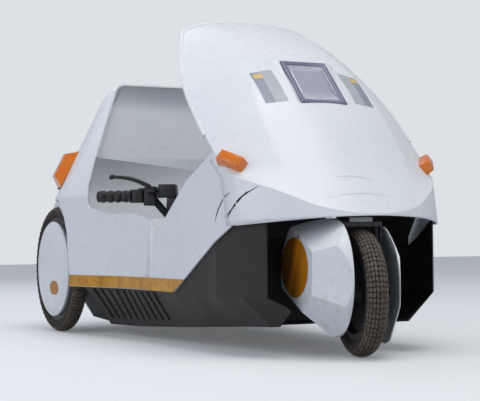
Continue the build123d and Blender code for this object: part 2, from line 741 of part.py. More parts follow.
# Drag link from the handlebar's pin to the fork's pin
EYE_R = 9.0
with BuildPart() as drag_link:
    ends = [turned(aft_place, ROD_X, 0, ROD_Z - 4) for aft_place in (STEER_AFT, PIVOT_AFT)]
    for place, bore in zip(ends, (5.0, 4.0 + RUN_CLEAR)):
        add(rod(place, place + Vector(0, 0, 8), EYE_R))
    add(rod(ends[0] + Vector(0, 7, 4), ends[1] + Vector(0, -7, 4), 3.4))
    for place, bore in zip(ends, (5.0, 4.0 + RUN_CLEAR)):
        add(rod(place - Vector(0, 0, 1), place + Vector(0, 0, 9), bore), mode=Mode.SUBTRACT)

# Crank: axle, arms, chain ring, and the pedals on their spindles
ARM_L = 130.0
with BuildPart() as crank:
    y, z = aft(CRANK[0]), CRANK[1]
    add(rod((-60, y, z), (60, y, z), 9))
    add(rod((47, y, z), (50, y, z), 62))
    for side in (-1, 1):
        with BuildSketch(Plane.YZ.offset(side * 52)):
            with Locations((y + side * ARM_L / 2, z)):
                SlotOverall(ARM_L + 24, 24)
        extrude(amount=side * 10)
        add(rod((side * 60, y + side * ARM_L, z), (side * 160, y + side * ARM_L, z), 6))
pedal_parts = {}
for side, name in ((-1, "right"), (1, "left")):
    with BuildPart() as pedal:
        with Locations((side * 115, y + side * ARM_L, z)):
            Box(84, 56, 20)
        spindle = rod((side * 60, y + side * ARM_L, z), (side * 170, y + side * ARM_L, z), 6 + RUN_CLEAR)
        add(spindle, mode=Mode.SUBTRACT)
    pedal_parts[name] = pedal.part

nodes = {
    "upper_shell": upper_shell.part,
    "boot_lid": boot_lid.part,
    "lower_tub": lower_tub.part,
    "wheel_liner": wheel_liner.part,
    "waist_stripe": waist_stripe.part,
    "headlamp_frame": headlamp_frame.part,
    "headlamp_lens": headlamp_lens.part,
    "front_pads": front_pads,
    "front_indicators": front_indicators,
    "rear_pads": rear_pads,
    "rear_indicators": rear_indicators,
    "tail_lamp": tail_lamp.part,
    "chassis": chassis.part,
    "battery": battery.part,
    "motor_unit": motor_unit.part,
    "boot_tray": boot_tray.part,
    "fork": fork.part,
    "front_caliper": front_caliper.part,
    "fork_cover_right": fork_cover_right.part,
    "fork_cover_left": fork_cover_left.part,
    "front_tyre": front_tyre.part,
    "front_rim": front_rim.part,
    "rear_tyre_right": rear_wheels["right"][0],
    "rear_rim_right": rear_wheels["right"][1],
    "rear_cover_right": rear_covers["right"],
    "rear_tyre_left": rear_wheels["left"][0],
    "rear_rim_left": rear_wheels["left"][1],
    "rear_cover_left": rear_covers["left"],
    "handlebar": handlebar.part,
    "grips": grips.part,
    "switch_boxes": switch_boxes.part,
    "brake_levers": brake_levers.part,
    "drag_link": drag_link.part,
    "crank": crank.part,
    "pedal_right": pedal_parts["right"],
    "pedal_left": pedal_parts["left"],
}
for name, part in nodes.items():
    part.label = name
    export_step(part, f"parts/{name}.step")
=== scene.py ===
"""Electric pedal tricycle: finishes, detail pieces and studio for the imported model.

Laid out as an add-on: settings in property groups, one operator for each piece
or group of pieces, one panel. All lengths in the operators are metres, in the
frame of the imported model: +X the vehicle's left, front toward -Y, floor at Z = 0.
"""

import math

import bmesh
import bpy
from bpy.props import FloatProperty, FloatVectorProperty, IntProperty, PointerProperty
from mathutils import Matrix, Vector
from mathutils.bvhtree import BVHTree


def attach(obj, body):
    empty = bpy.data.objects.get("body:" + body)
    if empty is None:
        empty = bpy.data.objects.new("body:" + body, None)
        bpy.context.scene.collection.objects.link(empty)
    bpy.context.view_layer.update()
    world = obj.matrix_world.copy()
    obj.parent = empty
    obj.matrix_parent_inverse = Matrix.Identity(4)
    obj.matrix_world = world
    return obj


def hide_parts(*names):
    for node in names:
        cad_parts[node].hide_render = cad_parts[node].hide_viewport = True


bl_info = {
    "name": "Electric Tricycle Dressing",
    "version": (1, 0, 0),
    "blender": (4, 5, 0),
    "location": "3D View > Sidebar > Tricycle",
    "description": "Finishes and detail pieces for the electric tricycle",
    "category": "Object",
}

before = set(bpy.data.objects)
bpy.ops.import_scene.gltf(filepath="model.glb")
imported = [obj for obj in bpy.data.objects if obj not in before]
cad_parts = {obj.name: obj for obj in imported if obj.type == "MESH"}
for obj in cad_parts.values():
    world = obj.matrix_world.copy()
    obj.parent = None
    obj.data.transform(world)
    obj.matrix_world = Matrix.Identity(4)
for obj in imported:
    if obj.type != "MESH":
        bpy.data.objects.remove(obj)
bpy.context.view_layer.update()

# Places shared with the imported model, metres
AXLE_Y = -0.713
REAR_AXLE_Y = AXLE_Y + 1.304
FRONT_RADIUS = 0.1585
REAR_RADIUS = 0.203
REAR_HALF_TRACK = 0.345
STEER_REST = math.radians(14)
# Pivots of the fork and of the bars, millimetres behind the front axle
FORK_PIVOT = 60
BAR_PIVOT = 750
LEFT = Vector((math.cos(STEER_REST), -math.sin(STEER_REST), 0))
BACK = Vector((math.sin(STEER_REST), math.cos(STEER_REST), 0))
UP = Vector((0, 0, 1))
X_AXIS, Y_AXIS = Vector((1, 0, 0)), Vector((0, 1, 0))


def aft(mm):
    """Y in metres of a place so many millimetres behind the front axle."""
    return AXLE_Y + mm / 1000


def turned(pivot_mm, x, y, z):
    """Point of a turned group, millimetres left, back and up of its pivot."""
    return Vector((0, aft(pivot_mm), z / 1000)) + LEFT * (x / 1000) + BACK * (y / 1000)


FRONT_HUB = turned(FORK_PIVOT, 0, -FORK_PIVOT, FRONT_RADIUS * 1000)


# Materials
def srgb(text):
    """Linear colour from an sRGB hex value."""
    parts = [int(text[i:i + 2], 16) / 255 for i in (1, 3, 5)]
    linear = [c / 12.92 if c <= 0.04045 else ((c + 0.055) / 1.055) ** 2.4 for c in parts]
    return (*linear, 1.0)


def node(tree, kind, inputs=None, **settings):
    """Adds a node, sets it up, and links or sets its inputs: returns the node."""
    made = tree.nodes.new(kind)
    for key, value in settings.items():
        setattr(made, key, value)
    for key, value in (inputs or {}).items():
        if isinstance(value, bpy.types.NodeSocket):
            tree.links.new(value, made.inputs[key])
        else:
            made.inputs[key].default_value = srgb(value) if isinstance(value, str) else value
    return made


def start_material(name, colour, roughness, **sockets):
    """New material with its shader set up: returns material, tree and shader."""
    made = bpy.data.materials.new(name)
    made.use_nodes = True
    tree = made.node_tree
    shader = tree.nodes["Principled BSDF"]
    shader.inputs["Base Color"].default_value = srgb(colour)
    shader.inputs["Roughness"].default_value = roughness
    for key, value in sockets.items():
        shader.inputs[key.replace("_", " ")].default_value = value
    return made, tree, shader


def mottle(tree, scale, detail=3.0, coarse=0.5, spread=None):
    """Cloudy factor over a piece, scale in repeats per metre; spread is low, high, first and last."""
    place = node(tree, "ShaderNodeTexCoord")
    cloud = node(tree, "ShaderNodeTexNoise", {
        "Vector": place.outputs["Object"], "Scale": scale, "Detail": detail, "Roughness": coarse})
    if spread is None:
        return cloud.outputs["Fac"]
    low, high, first, last = spread
    return node(tree, "ShaderNodeMapRange", {
        "Value": cloud.outputs["Fac"], "From Min": low, "From Max": high, "To Min": first, "To Max": last,
    }).outputs["Result"]


def paint(tree, shader, factor, first, second):
    """Drifts the shader's colour between two by a factor: returns the colour."""
    mixed = node(tree, "ShaderNodeMix", {"Factor": factor, 6: first, 7: second}, data_type="RGBA").outputs[2]
    tree.links.new(mixed, shader.inputs["Base Color"])
    return mixed


def roughen(tree, shader, factor):
    """Lets the roughness follow a factor."""
    tree.links.new(factor, shader.inputs["Roughness"])


# How far the shading rounds every edge, metres
EDGE_SOFTNESS = 0.0018


def raise_surface(tree, shader, height, distance, strength):
    """Bump from a height over softened edges, distance in metres."""
    soft = node(tree, "ShaderNodeBevel", {"Radius": EDGE_SOFTNESS}, samples=4)
    bump = node(tree, "ShaderNodeBump", {
        "Height": height, "Normal": soft.outputs["Normal"], "Distance": distance, "Strength": strength})
    tree.links.new(bump.outputs["Normal"], shader.inputs["Normal"])


def white_moulding():
    """Gloss polypropylene moulding: faint orange peel, handling marks, road film low down."""
    made, tree, shader = start_material("moulded_polypropylene_white", "#e9edf2", 0.32, IOR=1.49)
    clean = paint(tree, shader, mottle(tree, 6.0, 4.0, spread=(0.35, 0.75, 0.0, 0.5)), "#e9edf2", "#dfe4ea")
    place = node(tree, "ShaderNodeTexCoord")
    split = node(tree, "ShaderNodeSeparateXYZ", {"Vector": place.outputs["Object"]})
    low = node(tree, "ShaderNodeMapRange", {
        "Value": split.outputs["Z"], "From Min": 0.16, "From Max": 0.42, "To Min": 1.0, "To Max": 0.0})
    film = mottle(tree, 38.0, 5.0, 0.65, (0.52, 0.72, 0.0, 0.35))
    dirt = node(tree, "ShaderNodeMath", {0: low.outputs["Result"], 1: film}, operation="MULTIPLY")
    paint(tree, shader, dirt.outputs[0], clean, "#b9b4aa")
    roughen(tree, shader, mottle(tree, 38.0, 5.0, 0.65, (0.3, 0.8, 0.24, 0.42)))
    raise_surface(tree, shader, mottle(tree, 260.0, 2.0), 0.0002, 0.25)
    return made


def black_moulding():
    """Matt brown-black polypropylene: fine moulded grain and dry road dust."""
    made, tree, shader = start_material("moulded_polypropylene_black", "#221d1d", 0.5, IOR=1.49)
    paint(tree, shader, mottle(tree, 9.0, 5.0, 0.6, (0.4, 0.75, 0.0, 0.7)), "#1d1919", "#2c2523")
    roughen(tree, shader, mottle(tree, 9.0, 5.0, 0.6, (0.3, 0.8, 0.45, 0.68)))
    raise_surface(tree, shader, mottle(tree, 420.0), 0.0004, 0.4)
    return made


def amber_tape():
    """Amber vinyl tape over the joint: faded in patches, grime along it."""
    made, tree, shader = start_material("vinyl_tape_amber", "#c98a1f", 0.35)
    paint(tree, shader, mottle(tree, 24.0, 6.0, 0.7, (0.42, 0.66, 0.0, 1.0)), "#d3951f", "#a8701c")
    raise_surface(tree, shader, mottle(tree, 24.0, 6.0, 0.7), 0.0003, 0.3)
    return made


def orange_acrylic():
    """Moulded orange acrylic lens: glossy, light passes a little way in."""
    made, tree, shader = start_material(
        "moulded_acrylic_orange", "#ea7a14", 0.2, IOR=1.49, Coat_Weight=0.4,
        Subsurface_Weight=0.15, Subsurface_Scale=0.01)
    paint(tree, shader, mottle(tree, 30.0, 2.0), "#f0851a", "#dd6b10")
    return made


def red_acrylic():
    """Moulded red acrylic lens with fine prism lines."""
    made, tree, shader = start_material("moulded_acrylic_red", "#8e0f10", 0.2, IOR=1.49, Coat_Weight=0.4)
    place = node(tree, "ShaderNodeTexCoord")
    lines = node(
        tree, "ShaderNodeTexWave", {"Vector": place.outputs["Object"], "Scale": 60.0},
        bands_direction="X").outputs["Fac"]
    paint(tree, shader, lines, "#7c0c0e", "#a31416")
    raise_surface(tree, shader, lines, 0.0006, 0.5)
    return made


def smoked_acrylic():
    """Grey-violet smoked lamp frame."""
    made, tree, shader = start_material("moulded_acrylic_smoked", "#77758f", 0.2, IOR=1.49, Coat_Weight=0.5)
    paint(tree, shader, mottle(tree, 25.0), "#6a6884", "#8583a0")
    return made


def satin_enamel():
    """Black chassis enamel over welded steel: slight orange peel, dust."""
    made, tree, shader = start_material("enamelled_steel_black", "#1d1d1f", 0.4)
    paint(tree, shader, mottle(tree, 20.0, 4.0, spread=(0.5, 0.8, 0.0, 1.0)), "#1b1b1d", "#35302c")
    raise_surface(tree, shader, mottle(tree, 300.0), 0.0002, 0.3)
    return made


def plated_steel():
    """Zinc-plated steel: grey, softly brushed."""
    made, tree, shader = start_material("zinc_plated_steel", "#8d8f92", 0.35, Metallic=1.0)
    roughen(tree, shader, mottle(tree, 80.0, 4.0, spread=(0.2, 0.8, 0.28, 0.5)))
    return made


def cast_alloy():
    """Die-cast aluminium housing: fine cast grain."""
    made, tree, shader = start_material("die_cast_aluminium", "#8b8c8e", 0.5, Metallic=1.0)
    raise_surface(tree, shader, mottle(tree, 500.0), 0.0004, 0.5)
    return made


def tyre_rubber():
    """Dusty tyre rubber: brown road dust over the blocks."""
    made, tree, shader = start_material("vulcanised_rubber_dusty", "#5c534b", 0.85)
    paint(tree, shader, mottle(tree, 60.0, 6.0, 0.7, (0.35, 0.7, 0.0, 1.0)), "#4d453e", "#7a6f64")
    raise_surface(tree, shader, mottle(tree, 700.0), 0.0006, 0.5)
    return made


def groove_rubber():
    """Tyre carcass between the blocks: dark rubber, dust caught in it."""
    made, tree, shader = start_material("vulcanised_rubber_dark", "#2b2521", 0.9)
    paint(tree, shader, mottle(tree, 90.0, 5.0, 0.7, (0.45, 0.75, 0.0, 1.0)), "#241f1c", "#4a4038")
    raise_surface(tree, shader, mottle(tree, 500.0), 0.0004, 0.4)
    return made


def silvered_dish():
    """Vacuum-metallised reflector."""
    made, tree, shader = start_material("metallised_reflector", "#9a9bb2", 0.2, Metallic=1.0)
    roughen(tree, shader, mottle(tree, 60.0, spread=(0.3, 0.7, 0.08, 0.2)))
    return made


def sticker_grey():
    """Blue-grey vinyl sticker."""
    made, tree, shader = start_material("vinyl_sticker_slate", "#8d97a8", 0.4)
    paint(tree, shader, mottle(tree, 40.0, 4.0), "#8791a3", "#98a1b0")
    return made


def sticker_pale():
    """Pale grey vinyl sticker with rubbed patches."""
    made, tree, shader = start_material("vinyl_sticker_pale", "#b3bac2", 0.4)
    paint(tree, shader, mottle(tree, 30.0, 5.0, 0.7, (0.55, 0.7, 0.0, 1.0)), "#b0b7bf", "#d3d8db")
    return made


def sticker_yellow():
    """Yellow vinyl patch."""
    made, tree, shader = start_material("vinyl_sticker_yellow", "#d9b45a", 0.4)
    paint(tree, shader, mottle(tree, 150.0), "#cf9c3a", "#efdca6")
    return made


def sticker_amber():
    """Amber vinyl panel, a little dull with age."""
    made, tree, shader = start_material("vinyl_sticker_amber", "#b9730f", 0.42)
    paint(tree, shader, mottle(tree, 26.0, 5.0), "#a9660c", "#c47c14")
    return made


def sticker_orange():
    """Lighter orange vinyl stripe."""
    made, tree, shader = start_material("vinyl_sticker_orange", "#dd8412", 0.4)
    paint(tree, shader, mottle(tree, 26.0, 5.0), "#d47c10", "#e59220")
    return made


def ribbed_glass():
    """Pressed clear lens: light passes through, its ribs bend the dish behind."""
    made, tree, shader = start_material(
        "pressed_glass_clear", "#d9d9ea", 0.06, IOR=1.46, Transmission_Weight=0.7, Coat_Weight=0.3)
    roughen(tree, shader, mottle(tree, 45.0, spread=(0.3, 0.7, 0.03, 0.1)))
    return made


def grip_rubber():
    """Moulded black rubber grip: satin with skin shine on the bulges."""
    made, tree, shader = start_material("moulded_rubber_black", "#1a1a1b", 0.42)
    paint(tree, shader, mottle(tree, 70.0, 4.0, spread=(0.5, 0.8, 0.0, 1.0)), "#18181a", "#2c2723")
    roughen(tree, shader, mottle(tree, 70.0, 4.0, spread=(0.3, 0.8, 0.32, 0.6)))
    raise_surface(tree, shader, mottle(tree, 600.0), 0.0003, 0.4)
    return made


def dark_wheel_plastic():
    """Glass-filled nylon wheel: dark grey, faint flow marks."""
    made, tree, shader = start_material("glass_filled_nylon_grey", "#2a2a2c", 0.5)
    paint(tree, shader, mottle(tree, 40.0, 5.0), "#242426", "#38373a")
    raise_surface(tree, shader, mottle(tree, 350.0), 0.0003, 0.4)
    return made


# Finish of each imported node, and what makes each finish
FINISH_NODES = {
    "white": (
        "upper_shell boot_lid front_pads fork_cover_right fork_cover_left rear_cover_right rear_cover_left"),
    "black": "lower_tub wheel_liner rear_pads boot_tray battery pedal_right pedal_left",
    "amber": "waist_stripe",
    "smoked": "headlamp_frame",
    "glass": "headlamp_lens",
    "orange": "front_indicators rear_indicators",
    "red": "tail_lamp",
    "enamel": "chassis fork handlebar",
    "plated": "drag_link crank front_caliper",
    "alloy": "motor_unit",
    "nylon": "front_rim rear_rim_right rear_rim_left",
    "tyre": "front_tyre rear_tyre_right rear_tyre_left",
    "grip": "grips brake_levers switch_boxes",
}
FINISH_OF = {name: kind for kind, names in FINISH_NODES.items() for name in names.split()}
MAKERS = {
    "white": white_moulding, "black": black_moulding, "amber": amber_tape, "orange": orange_acrylic,
    "red": red_acrylic, "smoked": smoked_acrylic, "enamel": satin_enamel, "plated": plated_steel,
    "alloy": cast_alloy, "tyre": tyre_rubber, "grip": grip_rubber, "nylon": dark_wheel_plastic,
    "groove": groove_rubber, "dish": silvered_dish, "slate": sticker_grey, "pale": sticker_pale,
    "yellow": sticker_yellow, "amber_panel": sticker_amber, "orange_stripe": sticker_orange,
    "glass": ribbed_glass,
}
finishes = {}


def finish(name):
    """Material by its short name, made once."""
    if name not in finishes:
        finishes[name] = MAKERS[name]()
    return finishes[name]


# Pieces
def place_piece(source, name, body, finish_name, replaced=(), smooth=35):
    """Turns a bmesh into a finished piece on a body, smooth up to an angle in degrees."""
    bmesh.ops.recalc_face_normals(source, faces=source.faces)
    mesh = bpy.data.meshes.new(name)
    source.to_mesh(mesh)
    source.free()
    piece = bpy.data.objects.new(name, mesh)
    bpy.context.collection.objects.link(piece)
    for part in finish_name if isinstance(finish_name, tuple) else (finish_name,):
        mesh.materials.append(finish(part))
    mesh.polygons.foreach_set("use_smooth", [True] * len(mesh.polygons))
    mesh.set_sharp_from_angle(angle=math.radians(smooth))
    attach(piece, body)
    if replaced:
        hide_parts(*replaced)
    return piece


def pour(source, target):
    """Adds one bmesh to another and frees it."""
    shape = bpy.data.meshes.new("poured")
    source.to_mesh(shape)
    source.free()
    target.from_mesh(shape)
    bpy.data.meshes.remove(shape)


def give_wall(piece, thickness):
    """Thickens a shell inwards."""
    wall = piece.modifiers.new("wall", "SOLIDIFY")
    wall.thickness = thickness
    wall.offset = -1


def round_edges(piece, width, segments, degrees):
    """Rounds the edges that turn by more than an angle."""
    rounded = piece.modifiers.new("rounded", "BEVEL")
    rounded.width = width
    rounded.segments = segments
    rounded.limit_method = "ANGLE"
    rounded.angle_limit = math.radians(degrees)


def frame_at(origin, across, ahead, above):
    """Matrix that puts local X, Y and Z along three directions at a place."""
    turn = Matrix((across.normalized(), ahead.normalized(), above.normalized())).transposed()
    return Matrix.Translation(origin) @ turn.to_4x4()


def line_of(mesh, points, closed=False):
    """Vertices joined by edges: returns both."""
    corners = [mesh.verts.new(point) for point in points]
    pairs = list(zip(corners, corners[1:])) + ([(corners[-1], corners[0])] if closed else [])
    return corners + [mesh.edges.new(pair) for pair in pairs]


def turn_profile(mesh, points, steps, closed=False):
    """Spins a profile of (along X, radius) once round the X axis."""
    profile = line_of(mesh, [(x, 0, r) for x, r in points], closed)
    bmesh.ops.spin(
        mesh, geom=profile, cent=(0, 0, 0), axis=(1, 0, 0), dvec=(0, 0, 0), angle=math.tau, steps=steps,
        use_merge=True, use_duplicate=False)
    bmesh.ops.remove_doubles(mesh, verts=mesh.verts, dist=1e-6)


def add_block(mesh, size, matrix, edge=0.001, segments=2, taper=1.0):
    """Bevelled block whose top is tapered, put in place: returns its vertices."""
    made = bmesh.ops.create_cube(mesh, size=1)["verts"]
    bmesh.ops.scale(mesh, vec=size, verts=made)
    for corner in made:
        if corner.co.z > 0:
            corner.co.x *= taper
            corner.co.y *= taper
    edges = list({e for corner in made for e in corner.link_edges})
    if edge:
        bevelled = bmesh.ops.bevel(
            mesh, geom=edges, offset=edge, segments=segments, profile=0.5, affect="EDGES", material=-1)
        made = list({v for face in bevelled["faces"] for v in face.verts} | {v for v in made if v.is_valid})
    bmesh.ops.transform(mesh, matrix=matrix, verts=made)
    return made


def surface_of(names):
    """Search tree over the faces of some pieces."""
    corners, faces = [], []
    for name in names:
        mesh = bpy.data.objects[name].data
        faces += [tuple(i + len(corners) for i in face.vertices) for face in mesh.polygons]
        corners += [corner.co.copy() for corner in mesh.vertices]
    return BVHTree.FromPolygons(corners, faces)


def lay_on(mesh, tree, direction, lift, reach=0.12):
    """Drops every vertex along a direction onto a surface and lifts it clear."""
    for corner in mesh.verts:
        hit = tree.ray_cast(corner.co - direction * reach, direction, 2 * reach)
        if hit[0] is not None:
            outward = hit[1] if hit[1].dot(direction) < 0 else -hit[1]
            corner.co = hit[0] + outward * lift


# Tyres
TREAD_ROWS = (
    # across, half pitches along, width, length, slant in degrees, height share
    (0.17, 0, 0.27, 0.43, 38, 1.0),
    (0.17, 1, 0.25, 0.41, 38, 0.9),
    (0.48, 1, 0.27, 0.43, -30, 1.0),
    (0.48, 0, 0.25, 0.41, -30, 0.9),
    (0.79, 0, 0.26, 0.44, 22, 0.95),
    (0.79, 1, 0.24, 0.40, 22, 0.8),
    (1.10, 1, 0.26, 0.46, -12, 0.7),
    (1.10, 0, 0.22, 0.38, -12, 0.5),
)
# Share of the section's height where its centre lies, and radians of crown for one unit across
SECTION_CENTRE = 0.38
CROWN_WRAP = 0.95
SLANT_SHARE = 0.9
BLOCK_TAPER = 0.88
BLOCK_ROOT = -0.35
CARCASS_INSET = 0.0008
CARCASS_SWEEP = math.radians(136)
CARCASS_POINTS = 25


def make_tyre(name, node_name, body, place, width, outer_r, bead_r, pitches, tread):
    """Treaded tyre: spun carcass and slanted blocks wrapped on its crown."""
    middle_r = bead_r + SECTION_CENTRE * (outer_r - bead_r)
    half, tall = width / 2 - CARCASS_INSET, outer_r - tread - middle_r
    mesh = bmesh.new()
    for across, shift, wide, long, slant, rise in TREAD_ROWS:
        lean = math.tan(math.radians(slant)) * SLANT_SHARE
        for side in (-1, 1):
            for i in range(pitches):
                block = add_block(mesh, (wide, 1.0, 1.0), Matrix.Identity(4), edge=0.0, taper=BLOCK_TAPER)
                for corner in block:
                    u, v = corner.co.x, corner.co.y * long + lean * corner.co.x
                    angle = (across + u) * side * CROWN_WRAP
                    turn = math.tau / pitches * (i + 0.5 * shift + v)
                    height = tread * rise * (1.0 if corner.co.z > 0 else BLOCK_ROOT)
                    r = middle_r + (tall + height) * math.cos(angle)
                    corner.co = ((half + height) * math.sin(angle), r * math.sin(turn), r * math.cos(turn))
    blocks = len(mesh.faces)
    angles = [CARCASS_SWEEP * (2 * i / (CARCASS_POINTS - 1) - 1) for i in range(CARCASS_POINTS)]
    section = [(half * math.sin(a), middle_r + tall * math.cos(a)) for a in angles]
    turn_profile(mesh, section, 96, closed=True)
    mesh.faces.ensure_lookup_table()
    for face in mesh.faces[blocks:]:
        face.material_index = 1
    bmesh.ops.transform(mesh, matrix=place, verts=mesh.verts)
    return place_piece(
        mesh, name, body, ("tyre", "groove"), replaced=(node_name,), smooth=30)


# Lamps: place, size, share of the key lamp's power, colour
LAMPS = (
    ("key", (0.2, -1.5, 4.6), 3.0, 0.78, "#fffaf2"),
    ("front", (0.4, -4.6, 2.0), 2.4, 0.16, "#f4f7ff"),
    ("side", (-4.2, -0.9, 2.4), 3.0, 0.46, "#f4f7ff"),
    ("rear", (-0.6, 3.8, 3.4), 3.0, 0.40, "#f2f6ff"),
)
LAMP_AIM = Vector((0, 0, 0.4))
FLOOR_GLOW = 0.15
SKY_SEEN = 0.9


def lit_and_seen(tree, other_ray, lit_colour, seen_colour, lit, seen):
    """Colour and strength of the stage: as light, and as the camera and one more kind of ray see it."""
    path = node(tree, "ShaderNodeLightPath")
    shown = node(
        tree, "ShaderNodeMath", {0: path.outputs["Is Camera Ray"], 1: path.outputs[other_ray]},
        operation="MAXIMUM").outputs[0]
    colour = node(tree, "ShaderNodeMix", {"Factor": shown, 6: lit_colour, 7: seen_colour}, data_type="RGBA")
    level = node(tree, "ShaderNodeMapRange", {"Value": shown, "To Min": lit, "To Max": seen})
    return colour.outputs[2], level.outputs["Result"]


# Settings
class TRIKE_PG_stage(bpy.types.PropertyGroup):
    """Studio settings."""
    camera_place: FloatVectorProperty(
        name="Camera place", description="Where the camera stands", size=3, subtype="TRANSLATION",
        unit="LENGTH", default=(-1.717, -3.442, 0.296))
    camera_yaw: FloatProperty(
        name="Yaw", description="Camera heading", subtype="ANGLE", default=math.radians(-26.69))
    camera_pitch: FloatProperty(
        name="Pitch", description="Camera tilt up", subtype="ANGLE", default=math.radians(1.68))
    camera_roll: FloatProperty(
        name="Roll", description="Camera roll", subtype="ANGLE", default=math.radians(-0.56))
    lens: FloatProperty(name="Lens", description="Focal length in millimetres", default=96.8, min=10)
    key_power: FloatProperty(
        name="Key light", description="Power of the large soft lamp in watts", default=112, min=0)
    world_level: FloatProperty(
        name="Sky level", description="Strength of the even sky light", default=0.50, min=0)


class TRIKE_OT_stage(bpy.types.Operator):
    """Pale floor, soft lamps, even sky and the camera at the photograph's place"""
    bl_idname = "trike.stage"
    bl_label = "Stage and Camera"

    def execute(self, context):
        settings = context.scene.trike_stage
        scene = context.scene
        scene.view_settings.view_transform = "Standard"
        mesh = bmesh.new()
        bmesh.ops.create_grid(mesh, x_segments=1, y_segments=1, size=12)
        data = bpy.data.meshes.new("floor")
        mesh.to_mesh(data)
        mesh.free()
        floor = bpy.data.objects.new("floor", data)
        context.collection.objects.link(floor)
        made, tree, shader = start_material("matt_studio_floor", "#d9dbde", 0.9)
        colour, level = lit_and_seen(tree, "Is Glossy Ray", "#b9bcc0", "#dfe1e4", 0.0, FLOOR_GLOW)
        tree.links.new(colour, shader.inputs["Base Color"])
        shader.inputs["Emission Color"].default_value = srgb("#e4e7ea")
        tree.links.new(level, shader.inputs["Emission Strength"])
        data.materials.append(made)
        world = bpy.data.worlds.new("even_sky")
        scene.world = world
        world.use_nodes = True
        sky = world.node_tree
        back = sky.nodes["Background"]
        colour, level = lit_and_seen(
            sky, "Is Transmission Ray", "#dfe6ef", "#e8ebef", settings.world_level, SKY_SEEN)
        sky.links.new(colour, back.inputs["Color"])
        sky.links.new(level, back.inputs["Strength"])
        for name, spot, size, share, colour in LAMPS:
            light = bpy.data.lights.new(name, "AREA")
            light.size = size
            light.energy = settings.key_power * share
            light.color = srgb(colour)[:3]
            lamp = bpy.data.objects.new(name, light)
            lamp.location = spot
            lamp.rotation_euler = (LAMP_AIM - Vector(spot)).to_track_quat("-Z", "Y").to_euler()
            context.collection.objects.link(lamp)
        camera = bpy.data.cameras.new("camera")
        camera.lens = settings.lens
        camera.sensor_width = 36
        camera.sensor_fit = "HORIZONTAL"
        camera.clip_end = 100
        eye = bpy.data.objects.new("camera", camera)
        yaw, pitch, roll = settings.camera_yaw, settings.camera_pitch, settings.camera_roll
        ahead = Vector((-math.sin(yaw) * math.cos(pitch), math.cos(yaw) * math.cos(pitch), math.sin(pitch)))
        right = Vector((math.cos(yaw), math.sin(yaw), 0))
        above = right.cross(ahead)
        side = right * math.cos(roll) + above * math.sin(roll)
        top = above * math.cos(roll) - right * math.sin(roll)
        turn = Matrix((side, top, -ahead)).transposed().to_4x4()
        eye.matrix_world = Matrix.Translation(settings.camera_place) @ turn
        context.collection.objects.link(eye)
        scene.camera = eye
        return {"FINISHED"}


class TRIKE_OT_finishes(bpy.types.Operator):
    """Gives every carried-over solid its own finish"""
    bl_idname = "trike.finishes"
    bl_label = "Finishes"

    def execute(self, context):
        for name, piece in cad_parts.items():
            for slot in piece.material_slots:
                slot.material = finish(FINISH_OF[name])
        return {"FINISHED"}


# Height of a tyre's section from bead to tread
FRONT_SECTION = 0.042
REAR_SECTION = 0.036


class TRIKE_PG_tyres(bpy.types.PropertyGroup):
    """Sizes of the tyres and their tread."""
    front_width: FloatProperty(
        name="Front width", description="Width of the front tyre", unit="LENGTH", default=0.057)
    front_radius: FloatProperty(
        name="Front radius", description="Over the tread", unit="LENGTH", default=FRONT_RADIUS)
    front_pitches: IntProperty(
        name="Front pitches", description="Tread repeats round the wheel", default=38, min=12)
    rear_width: FloatProperty(
        name="Rear width", description="Width of a rear tyre", unit="LENGTH", default=0.050)
    rear_radius: FloatProperty(
        name="Rear radius", description="Over the tread", unit="LENGTH", default=REAR_RADIUS)
    rear_pitches: IntProperty(
        name="Rear pitches", description="Tread repeats round the wheel", default=52, min=12)
    tread: FloatProperty(
        name="Tread depth", description="Height of the blocks", unit="LENGTH", default=0.0032)


class TRIKE_OT_tyres(bpy.types.Operator):
    """Front and rear tyres with their tread blocks"""
    bl_idname = "trike.tyres"
    bl_label = "Tyres"

    def execute(self, context):
        settings = context.scene.trike_tyres
        make_tyre(
            "front_tyre_treaded", "front_tyre", "front_wheel", frame_at(FRONT_HUB, LEFT, BACK, UP),
            settings.front_width, settings.front_radius, settings.front_radius - FRONT_SECTION,
            settings.front_pitches, settings.tread)
        for side, word in ((-1, "right"), (1, "left")):
            hub = Vector((side * REAR_HALF_TRACK, REAR_AXLE_Y, settings.rear_radius))
            make_tyre(
                f"rear_tyre_{word}_treaded", f"rear_tyre_{word}", f"rear_wheel_{word}",
                frame_at(hub, X_AXIS, Y_AXIS, UP), settings.rear_width, settings.rear_radius,
                settings.rear_radius - REAR_SECTION, settings.rear_pitches, settings.tread)
        return {"FINISHED"}


# Nose of the white moulding, millimetres: height, place aft of its middle, half
# width and place aft of the soft ridge, half width and place aft of the side edge
NOSE = (
    (318, -94, 146, -76, 297, -38),
    (378, -39, 159, -17, 297, 22),
    (459, 30, 178, 58, 302, 143),
    (515, 73, 184, 104, 312, 209),
    (643, 179, 182, 212, 312, 342),
    (722, 256, 170, 290, 296, 428),
    (825, 392, 140, 422, 250, 539),
    (889, 515, 110, 537, 208, 626),
    (935, 660, 100, 675, 190, 720),
)
FLANK_BULGE = 5
# Skirt under the crease: height, middle, half width, edge, and its lower edge at side and middle
SKIRT = ((318, -68, 297, 108), (470, -38, 301, 138))
SKIRT_EDGE = (326, 349)
# Height that the skirt ends at, and where the cowl's edge starts to roll
CREASE_TOP = 462
BEAD_START = 560
# Cowl's top edge in plan: half width of its straight part, aft of the corner's centre, corner radius
COWL_CORNER = (182, 588, 40)
# Body side behind the nose: aft, half width
SIDE_PLAN = ((106, 296), (112, 297), (215, 312), (600, 308))
